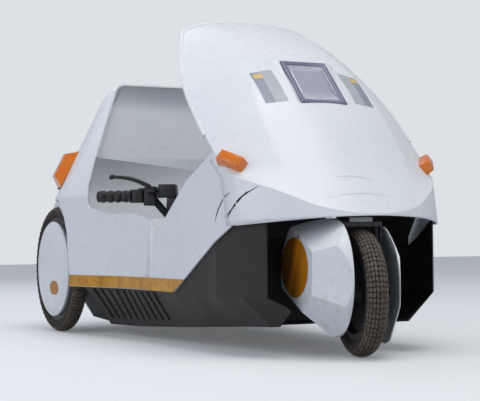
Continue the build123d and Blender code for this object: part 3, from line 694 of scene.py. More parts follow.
# Packed bonnet that the finer nose stands for: height, middle, half width, edge. Faces above
# its foot and near its surface go, and so does what is left of it high up in the cowl
PACKED_FOOT = 338.5
PACKED_WALL = (6, 24)
PACKED_COWL = (780, 750)
PACKED_BONNET = (
    (340, -64, 297, 112), (430, 8, 308, 162), (515, 73, 314, 209), (643, 179, 312, 342),
    (722, 256, 296, 428), (825, 392, 250, 539), (889, 515, 208, 626), (935, 660, 190, 720),
)


def row_at(rows, z):
    """Values of a table at a height, smoothly between its rows."""
    z = min(max(z, rows[0][0]), rows[-1][0])
    i = max(k for k in range(len(rows) - 1) if rows[k][0] <= z)
    low, high = rows[i], rows[i + 1]
    span = high[0] - low[0]
    t = (z - low[0]) / span
    before, after = rows[max(i - 1, 0)], rows[min(i + 2, len(rows) - 1)]
    values = []
    for k in range(1, len(low)):
        start = (high[k] - before[k]) / (high[0] - before[0]) * span
        end = (after[k] - low[k]) / (after[0] - low[0]) * span
        values.append(
            low[k] * (2 * t ** 3 - 3 * t ** 2 + 1) + high[k] * (3 * t ** 2 - 2 * t ** 3)
            + start * (t ** 3 - 2 * t ** 2 + t) + end * (t ** 3 - t ** 2))
    return values


def arc_aft(x, half, edge, middle):
    """Place aft on the arc through both edges and the middle."""
    rise = max(edge - middle, 0.1)
    radius = (half * half + rise * rise) / (2 * rise)
    return middle + radius - math.sqrt(max(radius * radius - min(abs(x), half) ** 2, 0))


def skirt_aft(x, z):
    """Place aft of the skirt under the bonnet's crease."""
    middle, half, edge = row_at(SKIRT, z)
    return arc_aft(x, half, edge, middle)


def bonnet_point(q, z):
    """Bonnet at a height; q runs from -1 at one side edge to 1, ridges at a half."""
    middle, ridge_half, ridge, half, edge = row_at(NOSE, z)
    share = abs(q)
    if share <= 0.5:
        x = 2 * share * ridge_half
        return math.copysign(x, q), arc_aft(x, ridge_half, ridge, middle)
    t = 2 * share - 1
    wide, back = half - ridge_half, edge - ridge
    bulge = FLANK_BULGE * 4 * t * (1 - t) / math.hypot(wide, back)
    return math.copysign(ridge_half + t * wide + bulge * back, q), ridge + t * back - bulge * wide


def where_crossed(test, low, high):
    """Height between two at which a rising test turns positive."""
    for _ in range(30):
        middle = (low + high) / 2
        low, high = (low, middle) if test(middle) > 0 else (middle, high)
    return high


def past_cowl_edge(point):
    """Positive where a bonnet point lies beyond the cowl's rounded top edge."""
    x, back = abs(point[0]), point[1]
    wide, centre, radius = COWL_CORNER
    if x <= wide:
        return back - centre - radius
    return -1 if back <= centre else math.hypot(x - wide, back - centre) - radius


def nose_limits(q):
    """Heights of the lower edge, the crease and the top edge along one column."""
    x = bonnet_point(q, SKIRT_EDGE[0])[0]
    low = SKIRT_EDGE[1] - (SKIRT_EDGE[1] - SKIRT_EDGE[0]) * (x / 310) ** 2

    def behind_skirt(z):
        x, back = bonnet_point(q, z)
        return back - skirt_aft(x, z)

    crease = where_crossed(behind_skirt, low, 470)
    top = where_crossed(lambda z: past_cowl_edge(bonnet_point(q, z)), 620, 934.9)
    return low, max(crease, low + 1), top


def nose_place(q, z):
    """Point of the nose's outside in metres."""
    x, back = bonnet_point(q, z)
    if z < CREASE_TOP:
        back = max(back, skirt_aft(x, z))
    return Vector((x / 1000, aft(back), z / 1000))


def side_half(back):
    """Half width of the body's side at a place aft."""
    return row_at(SIDE_PLAN, back)[0]


SKIRT_ROWS = 8
# Lamp's opening in its own frame, metres: half width, low and high edge, depth either way
LAMP_OPENING = (0.066, -0.077, 0.088, 0.05)


class TRIKE_PG_nose(bpy.types.PropertyGroup):
    """Fineness and wall of the nose, and its rolled edge."""
    columns: IntProperty(
        name="Columns", description="Mesh columns across, a multiple of four", default=72, min=8)
    rows: IntProperty(name="Rows", description="Mesh rows from the crease to the top", default=72, min=8)
    wall: FloatProperty(name="Wall", description="Thickness of the moulding", unit="LENGTH", default=0.004)
    bead: FloatProperty(
        name="Bead", description="Radius of the cowl's rolled edge", unit="LENGTH", default=0.0055)


class TRIKE_OT_nose(bpy.types.Operator):
    """White moulding: ridged bonnet over its skirt, cowl with rounded corners and a rolled edge"""
    bl_idname = "trike.nose"
    bl_label = "White Moulding"

    def execute(self, context):
        settings = context.scene.trike_nose
        self.body_without_bonnet()
        limits = self.nose_shell(settings)
        self.rolled_edge(settings, limits)
        return {"FINISHED"}

    def body_without_bonnet(self):
        """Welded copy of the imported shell, less the bonnet that the nose stands for."""
        body = bmesh.new()
        body.from_mesh(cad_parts["upper_shell"].data)
        bmesh.ops.remove_doubles(body, verts=body.verts, dist=1e-5)

        def on_packed_bonnet(corner):
            x, y, z = corner.co * 1000
            back = y - AXLE_Y * 1000
            if z < PACKED_FOOT:
                return False
            if z > PACKED_COWL[0] and back < PACKED_COWL[1]:
                return True
            middle, half, edge = row_at(PACKED_BONNET, z)
            return -PACKED_WALL[0] < back - arc_aft(x, half, edge, middle) < PACKED_WALL[1]

        gone = [face for face in body.faces if all(on_packed_bonnet(corner) for corner in face.verts)]
        bmesh.ops.delete(body, geom=gone, context="FACES")
        place_piece(
            body, "white_body_moulding", "frame", "white", replaced=("upper_shell",),
            smooth=28)

    def nose_shell(self, settings):
        """Bonnet and skirt as one grid, with side flanges and the lamp's opening: returns its limits."""
        nose = bmesh.new()
        bmesh.ops.create_grid(
            nose, x_segments=settings.columns, y_segments=settings.rows + SKIRT_ROWS, size=0.5)
        limits = {}
        share = SKIRT_ROWS / (settings.rows + SKIRT_ROWS)
        sides = {-1: [], 1: []}
        for corner in nose.verts:
            q, t = round(corner.co.x * 2, 6), corner.co.y + 0.5
            if q not in limits:
                limits[q] = nose_limits(q)
            low, crease, top = limits[q]
            if t < share:
                z = low + (crease - low) * t / share
            else:
                z = crease + (top - crease) * (t - share) / (1 - share)
            corner.co = nose_place(q, z)
            if abs(q) > 0.9999:
                sides[1 if q > 0 else -1].append(corner)
        for side, corners in sides.items():
            edges = [e for e in nose.edges if e.is_boundary and all(v in corners for v in e.verts)]
            for _ in range(2):
                edges = self.flange_step(nose, edges, side)
        inside = LAMP_FRAME.inverted()
        wide, low, high, deep = LAMP_OPENING
        opening = []
        for face in nose.faces:
            place = inside @ face.calc_center_median()
            if abs(place.x) < wide and low < place.y < high and abs(place.z) < deep:
                opening.append(face)
        bmesh.ops.delete(nose, geom=opening, context="FACES")
        moulding = place_piece(nose, "white_nose_moulding", "frame", "white", smooth=24)
        round_edges(moulding, 0.004, 3, 24)
        give_wall(moulding, settings.wall)
        return limits

    def flange_step(self, nose, edges, side):
        """Runs a side edge a little further back, onto the body's side: returns the new edges."""
        made = bmesh.ops.extrude_edge_only(nose, edges=edges)["geom"]
        for corner in (item for item in made if isinstance(item, bmesh.types.BMVert)):
            z = corner.co.z * 1000
            corner.co.y += (4 + 20 * min(max((520 - z) / 25, 0), 1)) / 1000
            if z < 505:
                corner.co.x = side * (side_half((corner.co.y - AXLE_Y) * 1000) + 0.5) / 1000
        grown = [item for item in made if isinstance(item, bmesh.types.BMEdge)]
        return [e for e in grown if all(v in made for v in e.verts) and e.is_boundary]

    def rolled_edge(self, settings, limits):
        """Bead along the cowl's free edge: up one side, across the top, down the other."""
        crest = limits[1.0][2]
        path = [(1.0, BEAD_START + (crest - BEAD_START) * i / 24) for i in range(25)]
        steps = settings.columns
        path += [(1 - 2 * i / steps, limits[round(1 - 2 * i / steps, 6)][2]) for i in range(1, steps)]
        path += [(-q, z) for q, z in reversed(path[:25])]
        points = [nose_place(q, z) + Vector((0, 0.0035, -0.001)) for q, z in path]
        bead = bpy.data.curves.new("cowl_rolled_edge", "CURVE")
        bead.dimensions = "3D"
        bead.bevel_depth = settings.bead
        bead.bevel_resolution = 5
        bead.use_fill_caps = True
        line = bead.splines.new("POLY")
        line.points.add(len(points) - 1)
        for spot, point in zip(line.points, points):
            spot.co = (*point, 1)
        bead.materials.append(finish("white"))
        piece = bpy.data.objects.new("cowl_rolled_edge", bead)
        bpy.context.collection.objects.link(piece)
        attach(piece, "frame")


# Fork covers: face corners back of and above the wheel's foot, the rim's centre in the same way,
# how far the face leans, and for each its side, where the rim and the face are, and its drop
COVER_FACE = ((-72, 262), (-67, 157), (-2, 112), (159, 172), (162, 252), (105, 334))
COVER_RIM = (5, 196)
COVER_LEAN = 0.09
COVERS = {"right": (-1, 58, 148, 0), "left": (1, 56, 81, 20)}
# Screw's outline, out of the face and from its middle, and where the screws are, metres
SCREW_HEAD = ((-0.001, 0.0042), (0.0012, 0.0042), (0.0022, 0.0028), (0.0022, 0.0012), (0.0014, 0))
SCREW_PLACES = ((0.021, 0.298), (0.068, 0.158), (0.140, 0.262))
# Middle of the amber oval on the face, and the sides of the band across it
OVAL_MIDDLE = Vector((0.052, 0.222, 0))
BAND_SLOPE = Vector((0.88, 0.47, 0))
BAND_SIDES = ((0.026, 1), (-0.010, -1))


def cover_frames(word):
    """Frames of a cover's face and of its rim: local X back, Y up, Z outward."""
    side, base, face, drop = COVERS[word]
    foot = FRONT_HUB - UP * (FRONT_RADIUS + drop / 1000)
    out = LEFT * side
    lean = (BACK + out * COVER_LEAN).normalized()
    level = UP.cross(lean) if side < 0 else lean.cross(UP)
    if level.dot(out) < 0:
        level = -level
    face_frame = frame_at(foot + out * (face / 1000), lean, UP, level)
    return face_frame, frame_at(foot + out * (base / 1000), BACK, UP, out)


# Amber panel on a rear cover, metres: ahead of the axle, height of its middle, width, height
REAR_PANEL = (0.041, 0.143, 0.080, 0.044)


class TRIKE_PG_covers(bpy.types.PropertyGroup):
    """Sizes of the wheel covers and of the panels on them."""
    rim_radius: FloatProperty(
        name="Rim radius", description="Round rim by the tyre", unit="LENGTH", default=0.146)
    wall: FloatProperty(name="Wall", description="Thickness of a cover", unit="LENGTH", default=0.003)
    panel_high: FloatProperty(name="Panel height", description="Amber panel", unit="LENGTH", default=0.150)
    panel_wide: FloatProperty(name="Panel width", description="Amber panel", unit="LENGTH", default=0.190)
    rear_radius: FloatProperty(name="Rear radius", description="Rear covers", unit="LENGTH", default=0.153)


class TRIKE_OT_covers(bpy.types.Operator):
    """Faceted fork covers with their panels, and the rear wheel discs"""
    bl_idname = "trike.covers"
    bl_label = "Wheel Covers"

    def execute(self, context):
        settings = context.scene.trike_covers
        for word in COVERS:
            self.fork_cover(settings, word)
        for side, word in ((-1, "right"), (1, "left")):
            self.rear_disc(settings, side, word)
        return {"FINISHED"}

    def fork_cover(self, settings, word):
        """Round drum planed down to the leaning face and six facets, open by the tyre."""
        face_frame, rim_frame = cover_frames(word)
        inside = rim_frame.inverted()
        hub = Vector((COVER_RIM[0] / 1000, COVER_RIM[1] / 1000, 0))
        corner_r = settings.rim_radius / math.cos(math.radians(30)) + 0.003
        turns = [math.radians(29 - 60 * i) for i in range(6)]
        rim = [hub + Vector((-corner_r * math.cos(a), corner_r * math.sin(a), 0)) for a in turns]
        face = [inside @ (face_frame @ Vector((x / 1000, z / 1000, 0))) for x, z in COVER_FACE]
        planes = [(face[0], (face[1] - face[0]).cross(face[3] - face[0]))]
        for k in range(6):
            foot = (rim[k] + rim[(k + 1) % 6]) / 2
            planes.append((face[k], (face[(k + 1) % 6] - face[k]).cross(foot - face[k])))
        mesh = bmesh.new()
        radius = settings.rim_radius
        bmesh.ops.create_cone(mesh, cap_ends=True, segments=96, radius1=radius, radius2=radius, depth=0.16)
        bmesh.ops.translate(mesh, vec=hub + Vector((0, 0, 0.08)), verts=mesh.verts)
        for place, normal in planes:
            normal.normalize()
            if (hub + Vector((0, 0, 0.005)) - place).dot(normal) > 0:
                normal.negate()
            bmesh.ops.bisect_plane(
                mesh, geom=mesh.verts[:] + mesh.edges[:] + mesh.faces[:], plane_co=place, plane_no=normal,
                clear_outer=True)
            bmesh.ops.holes_fill(mesh, edges=[e for e in mesh.edges if e.is_boundary], sides=0)
        foot = [f for f in mesh.faces if all(abs(v.co.z) < 1e-6 for v in f.verts)]
        bmesh.ops.delete(mesh, geom=foot, context="FACES")
        bmesh.ops.dissolve_degenerate(mesh, dist=1e-5, edges=mesh.edges[:])
        bmesh.ops.transform(mesh, matrix=rim_frame, verts=mesh.verts)
        piece = place_piece(
            mesh, f"fork_cover_{word}_faceted", "steering", "white", replaced=(f"fork_cover_{word}",),
            smooth=9)
        give_wall(piece, settings.wall)
        round_edges(piece, 0.0022, 2, 12)
        if word == "right":
            self.panel(settings, face_frame)

    def panel(self, settings, face_frame):
        """Amber oval with a lighter band across it, and three screws, on the outer face."""
        for kind, lift in (("amber_panel", 0.0006), ("orange_stripe", 0.0010)):
            mesh = bmesh.new()
            bmesh.ops.create_circle(mesh, cap_ends=True, segments=48, radius=0.5)
            bmesh.ops.scale(mesh, vec=(settings.panel_wide, settings.panel_high, 1), verts=mesh.verts)
            if kind == "orange_stripe":
                for shift, turn in BAND_SIDES:
                    bmesh.ops.bisect_plane(
                        mesh, geom=mesh.verts[:] + mesh.edges[:] + mesh.faces[:], plane_co=(shift, 0, 0),
                        plane_no=BAND_SLOPE * turn, clear_outer=True)
            bmesh.ops.inset_region(
                mesh, faces=mesh.faces[:], thickness=0.0012, depth=0.0004, use_boundary=True)
            bmesh.ops.translate(mesh, vec=OVAL_MIDDLE + Vector((0, 0, lift)), verts=mesh.verts)
            bmesh.ops.transform(mesh, matrix=face_frame, verts=mesh.verts)
            place_piece(mesh, f"fork_cover_{kind}", "steering", kind)
        screws = bmesh.new()
        for x, z in SCREW_PLACES:
            one = bmesh.new()
            turn_profile(one, SCREW_HEAD, 16)
            turn = Matrix.Rotation(math.radians(-90), 4, "Y")
            place = face_frame @ Matrix.Translation((x, z, 0)) @ turn
            bmesh.ops.transform(one, matrix=place, verts=one.verts)
            pour(one, screws)
        place_piece(screws, "fork_cover_screws", "steering", "plated")

    def rear_disc(self, settings, side, word):
        """Shallow dished disc with a raised rim and an amber panel low on it."""
        radius = settings.rear_radius
        profile = [
            (-0.006, radius), (0.004, radius), (0.0065, radius - 0.003), (0.0065, radius - 0.008),
            (0.0125, radius - 0.024), (0.0150, radius - 0.060), (0.0160, 0.040), (0.0163, 0.0),
        ]
        place = frame_at(Vector((side * 0.3685, REAR_AXLE_Y, REAR_RADIUS)), X_AXIS * side, Y_AXIS * side, UP)
        disc = bmesh.new()
        turn_profile(disc, profile, 96)
        bmesh.ops.transform(disc, matrix=place, verts=disc.verts)
        piece = place_piece(
            disc, f"rear_cover_{word}_disc", f"rear_wheel_{word}", "white", replaced=(f"rear_cover_{word}",),
            smooth=20)
        give_wall(piece, settings.wall)
        forward, height, wide, high = REAR_PANEL
        panel = bmesh.new()
        bmesh.ops.create_grid(panel, x_segments=12, y_segments=12, size=0.5)
        for corner in panel.verts:
            x, y = corner.co.x * math.sqrt(1 - 3.4 * corner.co.y ** 2), corner.co.y
            corner.co = (0.42 * side, REAR_AXLE_Y - forward + x * wide, height + y * high)
        lay_on(panel, surface_of((piece.name,)), Vector((-side, 0, 0)), 0.0006)
        place_piece(panel, f"rear_cover_{word}_panel", f"rear_wheel_{word}", "amber_panel")


# Headlamp plane, as on the nose
LAMP_SLOPE = math.radians(46.2)
LAMP_UP = Vector((0, math.cos(LAMP_SLOPE), math.sin(LAMP_SLOPE)))
LAMP_OUT = Vector((0, -math.sin(LAMP_SLOPE), math.cos(LAMP_SLOPE)))
LAMP_FRAME = frame_at(Vector((0, aft(246), 0.706)) + LAMP_OUT * 0.003, X_AXIS, LAMP_UP, LAMP_OUT)
# Plinth and frame as rings grown out of the lens: finish, slot, node it replaces, bevel, drop of the
# lower edge, and for each ring how far it lies outside in width and in length, and its height
HOUSINGS = {
    "headlamp_plinth": ("white", "white_plastic", (), 0.005, 0.006, (
        (0.014, 0.014, -0.002), (0.018, 0.018, 0.001), (0.024, 0.022, -0.001), (0.050, 0.034, -0.019),
        (0.056, 0.038, -0.026))),
    "headlamp_smoked_frame": ("smoked", "lamp_frame", ("headlamp_frame",), 0.002, 0, (
        (0.000, 0.000, -0.012), (0.000, 0.000, 0.0015), (0.0015, 0.0015, 0.003), (0.0105, 0.0105, 0.0045),
        (0.013, 0.013, 0.0025), (0.013, 0.013, -0.006))),
}


class TRIKE_PG_headlamp(bpy.types.PropertyGroup):
    """Sizes of the headlamp and the stickers beside it."""
    width: FloatProperty(
        name="Lens width", description="Clear width inside the frame", unit="LENGTH", default=0.112)
    length: FloatProperty(
        name="Lens length", description="Clear length inside the frame", unit="LENGTH", default=0.143)
    ribs: IntProperty(name="Ribs", description="Upright ribs pressed in the lens", default=26, min=4)
    rib_depth: FloatProperty(name="Rib depth", description="Depth of the ribs", unit="LENGTH", default=0.0011)
    sticker_inner: FloatProperty(
        name="Sticker inner edge", description="From the middle", unit="LENGTH", default=0.102)
    sticker_outer: FloatProperty(
        name="Sticker outer edge", description="From the middle", unit="LENGTH", default=0.164)


class TRIKE_OT_headlamp(bpy.types.Operator):
    """Ribbed lens over a metallised dish, and the stickers on the bonnet beside it"""
    bl_idname = "trike.headlamp"
    bl_label = "Headlamp"

    def execute(self, context):
        settings = context.scene.trike_headlamp
        wide, long = settings.width - 0.0006, settings.length - 0.0006
        self.housing(settings)
        lens = bmesh.new()
        bmesh.ops.create_grid(lens, x_segments=settings.ribs * 6, y_segments=8, size=0.5)
        for corner in lens.verts:
            x, y = corner.co.x, corner.co.y
            rib = math.cos(x * settings.ribs * math.tau) * min(1, (0.5 - abs(x)) * 12, (0.5 - abs(y)) * 30)
            corner.co = (x * wide, y * long, settings.rib_depth * rib)
        sheet = bmesh.ops.extrude_face_region(lens, geom=lens.faces[:])["geom"]
        low = [item for item in sheet if isinstance(item, bmesh.types.BMVert)]
        for corner in low:
            corner.co.z = -0.004
        bmesh.ops.transform(lens, matrix=LAMP_FRAME @ Matrix.Translation((0, 0, 0.0005)), verts=lens.verts)
        place_piece(
            lens, "headlamp_ribbed_lens", "frame", "glass", replaced=("headlamp_lens",))
        dish = bmesh.new()
        bmesh.ops.create_grid(dish, x_segments=40, y_segments=48, size=0.5)
        for corner in dish.verts:
            x, y = corner.co.x * wide, corner.co.y * long
            bowl = max(0.0, 1 - (x * x + y * y) / 0.062 ** 2)
            corner.co = (x, y, -0.010 - 0.020 * math.sqrt(bowl))
        bulb = bmesh.ops.create_uvsphere(dish, u_segments=16, v_segments=10, radius=0.007)["verts"]
        bmesh.ops.translate(dish, vec=(0, 0, -0.014), verts=bulb)
        bmesh.ops.transform(dish, matrix=LAMP_FRAME, verts=dish.verts)
        place_piece(dish, "headlamp_reflector", "frame", "dish")
        shell = surface_of(("white_nose_moulding", "headlamp_plinth"))
        near, far = settings.sticker_inner, settings.sticker_outer
        middle = (near + far) / 2 + 0.004
        for side, word in ((-1, "right"), (1, "left")):
            patches = (
                # finish, inner and outer edge, lower and upper edge, lift
                ("slate", middle, far, -0.073, 0.056, 0.0005),
                ("pale", near, middle, -0.073, 0.060, 0.0005),
                ("yellow", far - 0.030, far - 0.005, 0.026, 0.048, 0.0010),
            )
            for kind, inner, outer, low, high, lift in patches:
                patch = bmesh.new()
                bmesh.ops.create_grid(patch, x_segments=12, y_segments=18, size=0.5)
                for corner in patch.verts:
                    u = inner + (corner.co.x + 0.5) * (outer - inner)
                    v = low + (corner.co.y + 0.5) * (high - low)
                    corner.co = LAMP_FRAME @ Vector((side * u, v, 0))
                lay_on(patch, shell, -LAMP_OUT, lift)
                place_piece(patch, f"bonnet_sticker_{kind}_{word}", "frame", kind)
        return {"FINISHED"}

    def housing(self, settings):
        """Raised plinth on the bonnet and the smoked frame seated in it."""
        for name, (kind, slot, replaced, edge, drop, rings) in HOUSINGS.items():
            mesh = bmesh.new()
            made = bmesh.ops.create_grid(mesh, x_segments=1, y_segments=1, size=0.5)["verts"]
            bmesh.ops.delete(mesh, geom=mesh.faces[:], context="FACES_ONLY")
            edges = mesh.edges[:]
            for step, (wide, long, height) in enumerate(rings):
                if step:
                    grown = bmesh.ops.extrude_edge_only(mesh, edges=edges)["geom"]
                    made = [item for item in grown if isinstance(item, bmesh.types.BMVert)]
                    edges = [item for item in grown if isinstance(item, bmesh.types.BMEdge)
                             and all(v in made for v in item.verts)]
                for corner in made:
                    corner.co = (
                        math.copysign(settings.width / 2 + wide, corner.co.x),
                        math.copysign(settings.length / 2 + long, corner.co.y),
                        height - (drop if corner.co.y < 0 else 0))
            bmesh.ops.transform(mesh, matrix=LAMP_FRAME, verts=mesh.verts)
            piece = place_piece(mesh, name, "frame", kind, replaced=replaced, smooth=20)
            round_edges(piece, edge, 3, 20)


# Tub sections behind the nose: aft, half width of the side, half width and height of the bottom,
# where its first rib is, and the ribs' top in metres
FIRST_RIB = 640
RIB_TOP = 0.146
TUB_PLAN = ((600, 302.4, 235, 48), (650, 302.4, 238, 46), (860, 311, 250, 36), (1070, 350, 262, 32))


# Scratches on the right nose corner, aft and height, and cracks in the bonnet, across and height
SCRATCHES = (
    ((139, 412), (176, 392), (200, 360), (209, 338)),
    ((71, 423), (104, 400), (126, 376), (161, 337)),
    ((93, 412), (121, 378), (155, 352)),
)
CRACKS = (((-120, 392), (-60, 402), (0, 404), (60, 396)), ((-70, 446), (-20, 449), (40, 440)))


def mark_strip(mesh, points, width, tree, direction, lift=0.0004):
    """Narrow strip through points, tapered to its ends and laid on a surface."""
    strip = bmesh.new()
    bmesh.ops.create_grid(strip, x_segments=1, y_segments=10, size=0.5)
    across = direction.cross(points[-1] - points[0]).normalized()
    for corner in strip.verts:
        share = corner.co.y + 0.5
        t = share * (len(points) - 1)
        i = min(int(t), len(points) - 2)
        middle = points[i].lerp(points[i + 1], t - i)
        corner.co = middle + across * corner.co.x * width * (0.25 + 3 * share * (1 - share))
    lay_on(strip, tree, direction, lift, reach=0.4)
    pour(strip, mesh)


class TRIKE_PG_trim(bpy.types.PropertyGroup):
    """Sizes of the tub's ribs and the wear marks."""
    rib_count: IntProperty(name="Ribs", description="Ribs along each side of the tub", default=10, min=1)
    rib_pitch: FloatProperty(name="Rib spacing", description="Along the tub", unit="LENGTH", default=0.042)
    rib_width: FloatProperty(name="Rib width", description="Along the tub", unit="LENGTH", default=0.009)
    mark_width: FloatProperty(name="Scratch width", description="Widest place", unit="LENGTH", default=0.004)
    crack_width: FloatProperty(name="Crack width", description="Widest place", unit="LENGTH", default=0.0014)


class TRIKE_OT_trim(bpy.types.Operator):
    """Ribs on the tub's chamfer, scratches on the nose corner and hairline cracks"""
    bl_idname = "trike.trim"
    bl_label = "Ribs and Marks"

    def execute(self, context):
        settings = context.scene.trike_trim
        ribs = bmesh.new()
        for i in range(settings.rib_count):
            back = FIRST_RIB + i * settings.rib_pitch * 1000
            half, low_half, low = row_at(TUB_PLAN, back)
            for side in (-1, 1):
                top = Vector((side * half / 1000, aft(back), RIB_TOP))
                foot = top.lerp(Vector((side * low_half / 1000, aft(back), low / 1000)), 0.8)
                down = (foot - top).normalized()
                out = Y_AXIS.cross(down) * -side
                if out.x * side < 0:
                    out = -out
                size = (settings.rib_width, (foot - top).length, 0.006)
                add_block(ribs, size, frame_at((top + foot) / 2 + out * 0.0006, Y_AXIS, down, out), 0.002, 2)
        place_piece(ribs, "tub_ribs", "frame", "black", smooth=30)
        nose = surface_of(("white_nose_moulding", "white_body_moulding"))
        marks = bmesh.new()
        for line in SCRATCHES:
            points = [Vector((-0.33, aft(back), z / 1000)) for back, z in line]
            mark_strip(marks, points, settings.mark_width, nose, X_AXIS)
        place_piece(marks, "nose_corner_scratches", "frame", "groove")
        cracks = bmesh.new()
        for line in CRACKS:
            points = [Vector((x / 1000, aft(-150), z / 1000)) for x, z in line]
            mark_strip(cracks, points, settings.crack_width, nose, Y_AXIS, 0.0003)
        place_piece(cracks, "nose_hairlines", "frame", "pale")
        return {"FINISHED"}


# Front indicator on the right: millimetres across, aft and up, outward direction, and degrees
# that its end near the middle hangs down
INDICATOR = ((-284, 160, 482), (-0.60, -0.61, 0.515), 24)


class TRIKE_PG_lamps(bpy.types.PropertyGroup):
    """Sizes of the front indicators."""
    wide: FloatProperty(name="Width", description="Along the nose", unit="LENGTH", default=0.080)
    high: FloatProperty(name="Height", description="Across the nose", unit="LENGTH", default=0.036)
    proud: FloatProperty(name="Proud", description="Out of the nose", unit="LENGTH", default=0.034)


class TRIKE_OT_lamps(bpy.types.Operator):
    """Front indicator lenses with tapered sides on their pads"""
    bl_idname = "trike.lamps"
    bl_label = "Indicators"

    def execute(self, context):
        settings = context.scene.trike_lamps
        lenses, pads = bmesh.new(), bmesh.new()
        place, normal, dip = INDICATOR
        for side in (1, -1):
            out = Vector((normal[0] * side, normal[1], normal[2])).normalized()
            across = out.cross(UP).normalized()
            rise = across.cross(out).normalized()
            turn = Matrix.Rotation(math.radians(-dip) * side, 4, out)
            foot = Vector((place[0] * side / 1000, aft(place[1]), place[2] / 1000))
            spot = frame_at(foot, turn @ across, turn @ rise, out)
            lens = spot @ Matrix.Translation((0, 0, settings.proud / 2 - 0.004))
            add_block(lenses, (settings.wide, settings.high, settings.proud), lens, 0.004, 3, 0.86)
            groove = spot @ Matrix.Translation((0, 0, settings.proud - 0.0035))
            add_block(lenses, (settings.wide * 0.72, settings.high * 0.62, 0.002), groove, 0.0008, 2, 0.95)
            pad = spot @ Matrix.Translation((0, 0, -0.007))
            add_block(pads, (settings.wide + 0.006, settings.high + 0.006, 0.014), pad, 0.002, 2)
        place_piece(
            lenses, "front_indicator_lenses", "frame", "orange", ("front_indicators",), 30)
        place_piece(pads, "front_indicator_pads", "frame", "white", ("front_pads",), 30)
        return {"FINISHED"}


# Handlebar places, millimetres left of, behind and above its pivot
BAR_POINTS = ((238, 25, 425), (385, 85, 425))
# Boxes by the grip, metres: place along the bar and above it, length, depth, height, taper
CONTROL_BOXES = (
    (0.037, 0.000, 0.036, 0.040, 0.040, 0.92), (-0.001, -0.006, 0.038, 0.044, 0.046, 0.90),
    (0.012, 0.020, 0.022, 0.026, 0.012, 0.85), (-0.052, 0.014, 0.058, 0.042, 0.040, 0.90),
    (-0.074, -0.024, 0.050, 0.034, 0.050, 0.86),
)


class TRIKE_PG_handlebar(bpy.types.PropertyGroup):
    """Sizes of the grips."""
    grip_length: FloatProperty(
        name="Grip length", description="From flange to end", unit="LENGTH", default=0.108)
    grip_radius: FloatProperty(
        name="Grip radius", description="Over the bulges", unit="LENGTH", default=0.0185)
    bulges: IntProperty(name="Bulges", description="Finger bulges along a grip", default=4, min=1)


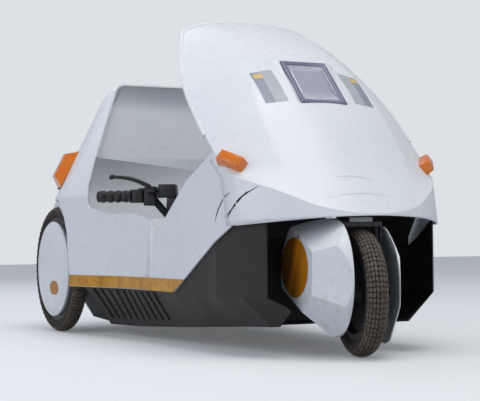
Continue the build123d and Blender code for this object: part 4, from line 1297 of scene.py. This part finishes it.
class TRIKE_OT_handlebar(bpy.types.Operator):
    """Bulged grips, control boxes and brake levers"""
    bl_idname = "trike.handlebar"
    bl_label = "Handlebar Controls"

    def execute(self, context):
        settings = context.scene.trike_handlebar
        grips, boxes, levers = bmesh.new(), bmesh.new(), bmesh.new()
        for side in (-1, 1):
            inner, outer = (turned(BAR_PIVOT, side * x, y, z) for x, y, z in BAR_POINTS)
            along = (outer - inner).normalized()
            level = along.cross(UP).normalized()
            start = outer - along * 0.102
            length, radius = settings.grip_length, settings.grip_radius
            profile = [(0, 0.0113), (0, radius + 0.0015), (0.003, radius + 0.0025), (0.006, radius)]
            for i in range(1, settings.bulges * 8):
                t = i / (settings.bulges * 8)
                wave = abs(math.sin(t * settings.bulges * math.pi))
                profile.append((0.008 + t * (length - 0.014), radius - 0.0042 * (1 - wave ** 0.6)))
            profile += [(length - 0.004, radius - 0.001), (length - 0.001, radius - 0.004), (length, 0.0)]
            one = bmesh.new()
            turn_profile(one, profile, 40)
            place = frame_at(start, along, level, along.cross(level))
            bmesh.ops.transform(one, matrix=place, verts=one.verts)
            pour(one, grips)
            for shift, rise, long, deep, tall, taper in CONTROL_BOXES:
                spot = frame_at(inner + along * shift + UP * rise, along, level, UP)
                add_block(boxes, (long, deep, tall), spot, 0.004, 3, taper)
            for shift in (-0.007, 0.007):
                spot = frame_at(inner + along * 0.030 + UP * 0.021 + level * shift, along, level, UP)
                add_block(boxes, (0.012, 0.009, 0.006), spot, edge=0.0012, taper=0.85)
            ahead = level if level.y < 0 else -level
            knuckle = inner - along * 0.008 + ahead * 0.030 + UP * 0.024
            tip = inner + along * 0.108 + ahead * 0.058 + UP * 0.056
            self.lever(levers, knuckle, tip, along, ahead)
        place_piece(grips, "bulged_grips", "bars", "grip", replaced=("grips",))
        place_piece(boxes, "control_boxes", "bars", "grip", ("switch_boxes",), 30)
        place_piece(levers, "brake_blades", "bars", "grip", ("brake_levers",), 35)
        return {"FINISHED"}

    def lever(self, mesh, knuckle, tip, along, ahead):
        """Perch on the bar and a curved blade that ends in a ball."""
        perch = frame_at(knuckle - ahead * 0.012 - UP * 0.006, along, ahead, UP)
        add_block(mesh, (0.030, 0.036, 0.020), perch, 0.004, 3, 0.9)
        reach = (tip - knuckle).length
        blade = bmesh.new()
        profile = [(0.0, 0.0), (0.001, 0.0075)]
        profile += [(reach * t, 0.0072 - 0.0022 * t) for t in (0.15, 0.3, 0.45, 0.6, 0.75, 0.9)]
        turn_profile(blade, profile + [(reach - 0.009, 0.0046)], 20)
        ball = bmesh.ops.create_uvsphere(blade, u_segments=20, v_segments=12, radius=0.0082)["verts"]
        bmesh.ops.translate(blade, vec=(reach - 0.004, 0, 0), verts=ball)
        way = (tip - knuckle).normalized()
        side = way.cross(UP).normalized()
        for corner in blade.verts:
            t = min(max(corner.co.x / reach, 0), 1)
            corner.co.y *= 1.0 + 0.5 * math.sin(math.pi * t) * (t < 0.9)
            corner.co.z -= 0.010 * math.sin(math.pi * t)
        place = frame_at(knuckle, way, side, side.cross(way) * -1)
        bmesh.ops.transform(blade, matrix=place, verts=blade.verts)
        pour(blade, mesh)


PLACED_SETTINGS = {
    "trike_stage": TRIKE_PG_stage,
    "trike_nose": TRIKE_PG_nose,
    "trike_tyres": TRIKE_PG_tyres,
    "trike_covers": TRIKE_PG_covers,
    "trike_headlamp": TRIKE_PG_headlamp,
    "trike_lamps": TRIKE_PG_lamps,
    "trike_handlebar": TRIKE_PG_handlebar,
    "trike_trim": TRIKE_PG_trim,
}
STEPS = (
    TRIKE_OT_stage, TRIKE_OT_finishes, TRIKE_OT_nose, TRIKE_OT_tyres, TRIKE_OT_covers,
    TRIKE_OT_headlamp, TRIKE_OT_lamps, TRIKE_OT_handlebar, TRIKE_OT_trim,
)
CLASSES = (*PLACED_SETTINGS.values(), *STEPS)


class TRIKE_PT_panel(bpy.types.Panel):
    """Sidebar panel with the settings and the steps"""
    bl_idname = "TRIKE_PT_panel"
    bl_label = "Electric Tricycle"
    bl_space_type = "VIEW_3D"
    bl_region_type = "UI"
    bl_category = "Tricycle"

    def draw(self, context):
        layout = self.layout
        for place, group in PLACED_SETTINGS.items():
            box = layout.box()
            for name in group.__annotations__:
                box.prop(getattr(context.scene, place), name)
        for step in STEPS:
            layout.operator(step.bl_idname)


def register():
    for cls in (*CLASSES, TRIKE_PT_panel):
        bpy.utils.register_class(cls)
    for place, group in PLACED_SETTINGS.items():
        setattr(bpy.types.Scene, place, PointerProperty(type=group))


def unregister():
    for place in PLACED_SETTINGS:
        delattr(bpy.types.Scene, place)
    for cls in reversed((*CLASSES, TRIKE_PT_panel)):
        bpy.utils.unregister_class(cls)


def main():
    """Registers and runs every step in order."""
    register()
    for step in STEPS:
        group, name = step.bl_idname.split(".")
        getattr(getattr(bpy.ops, group), name)()


if __name__ == "__main__":
    main()
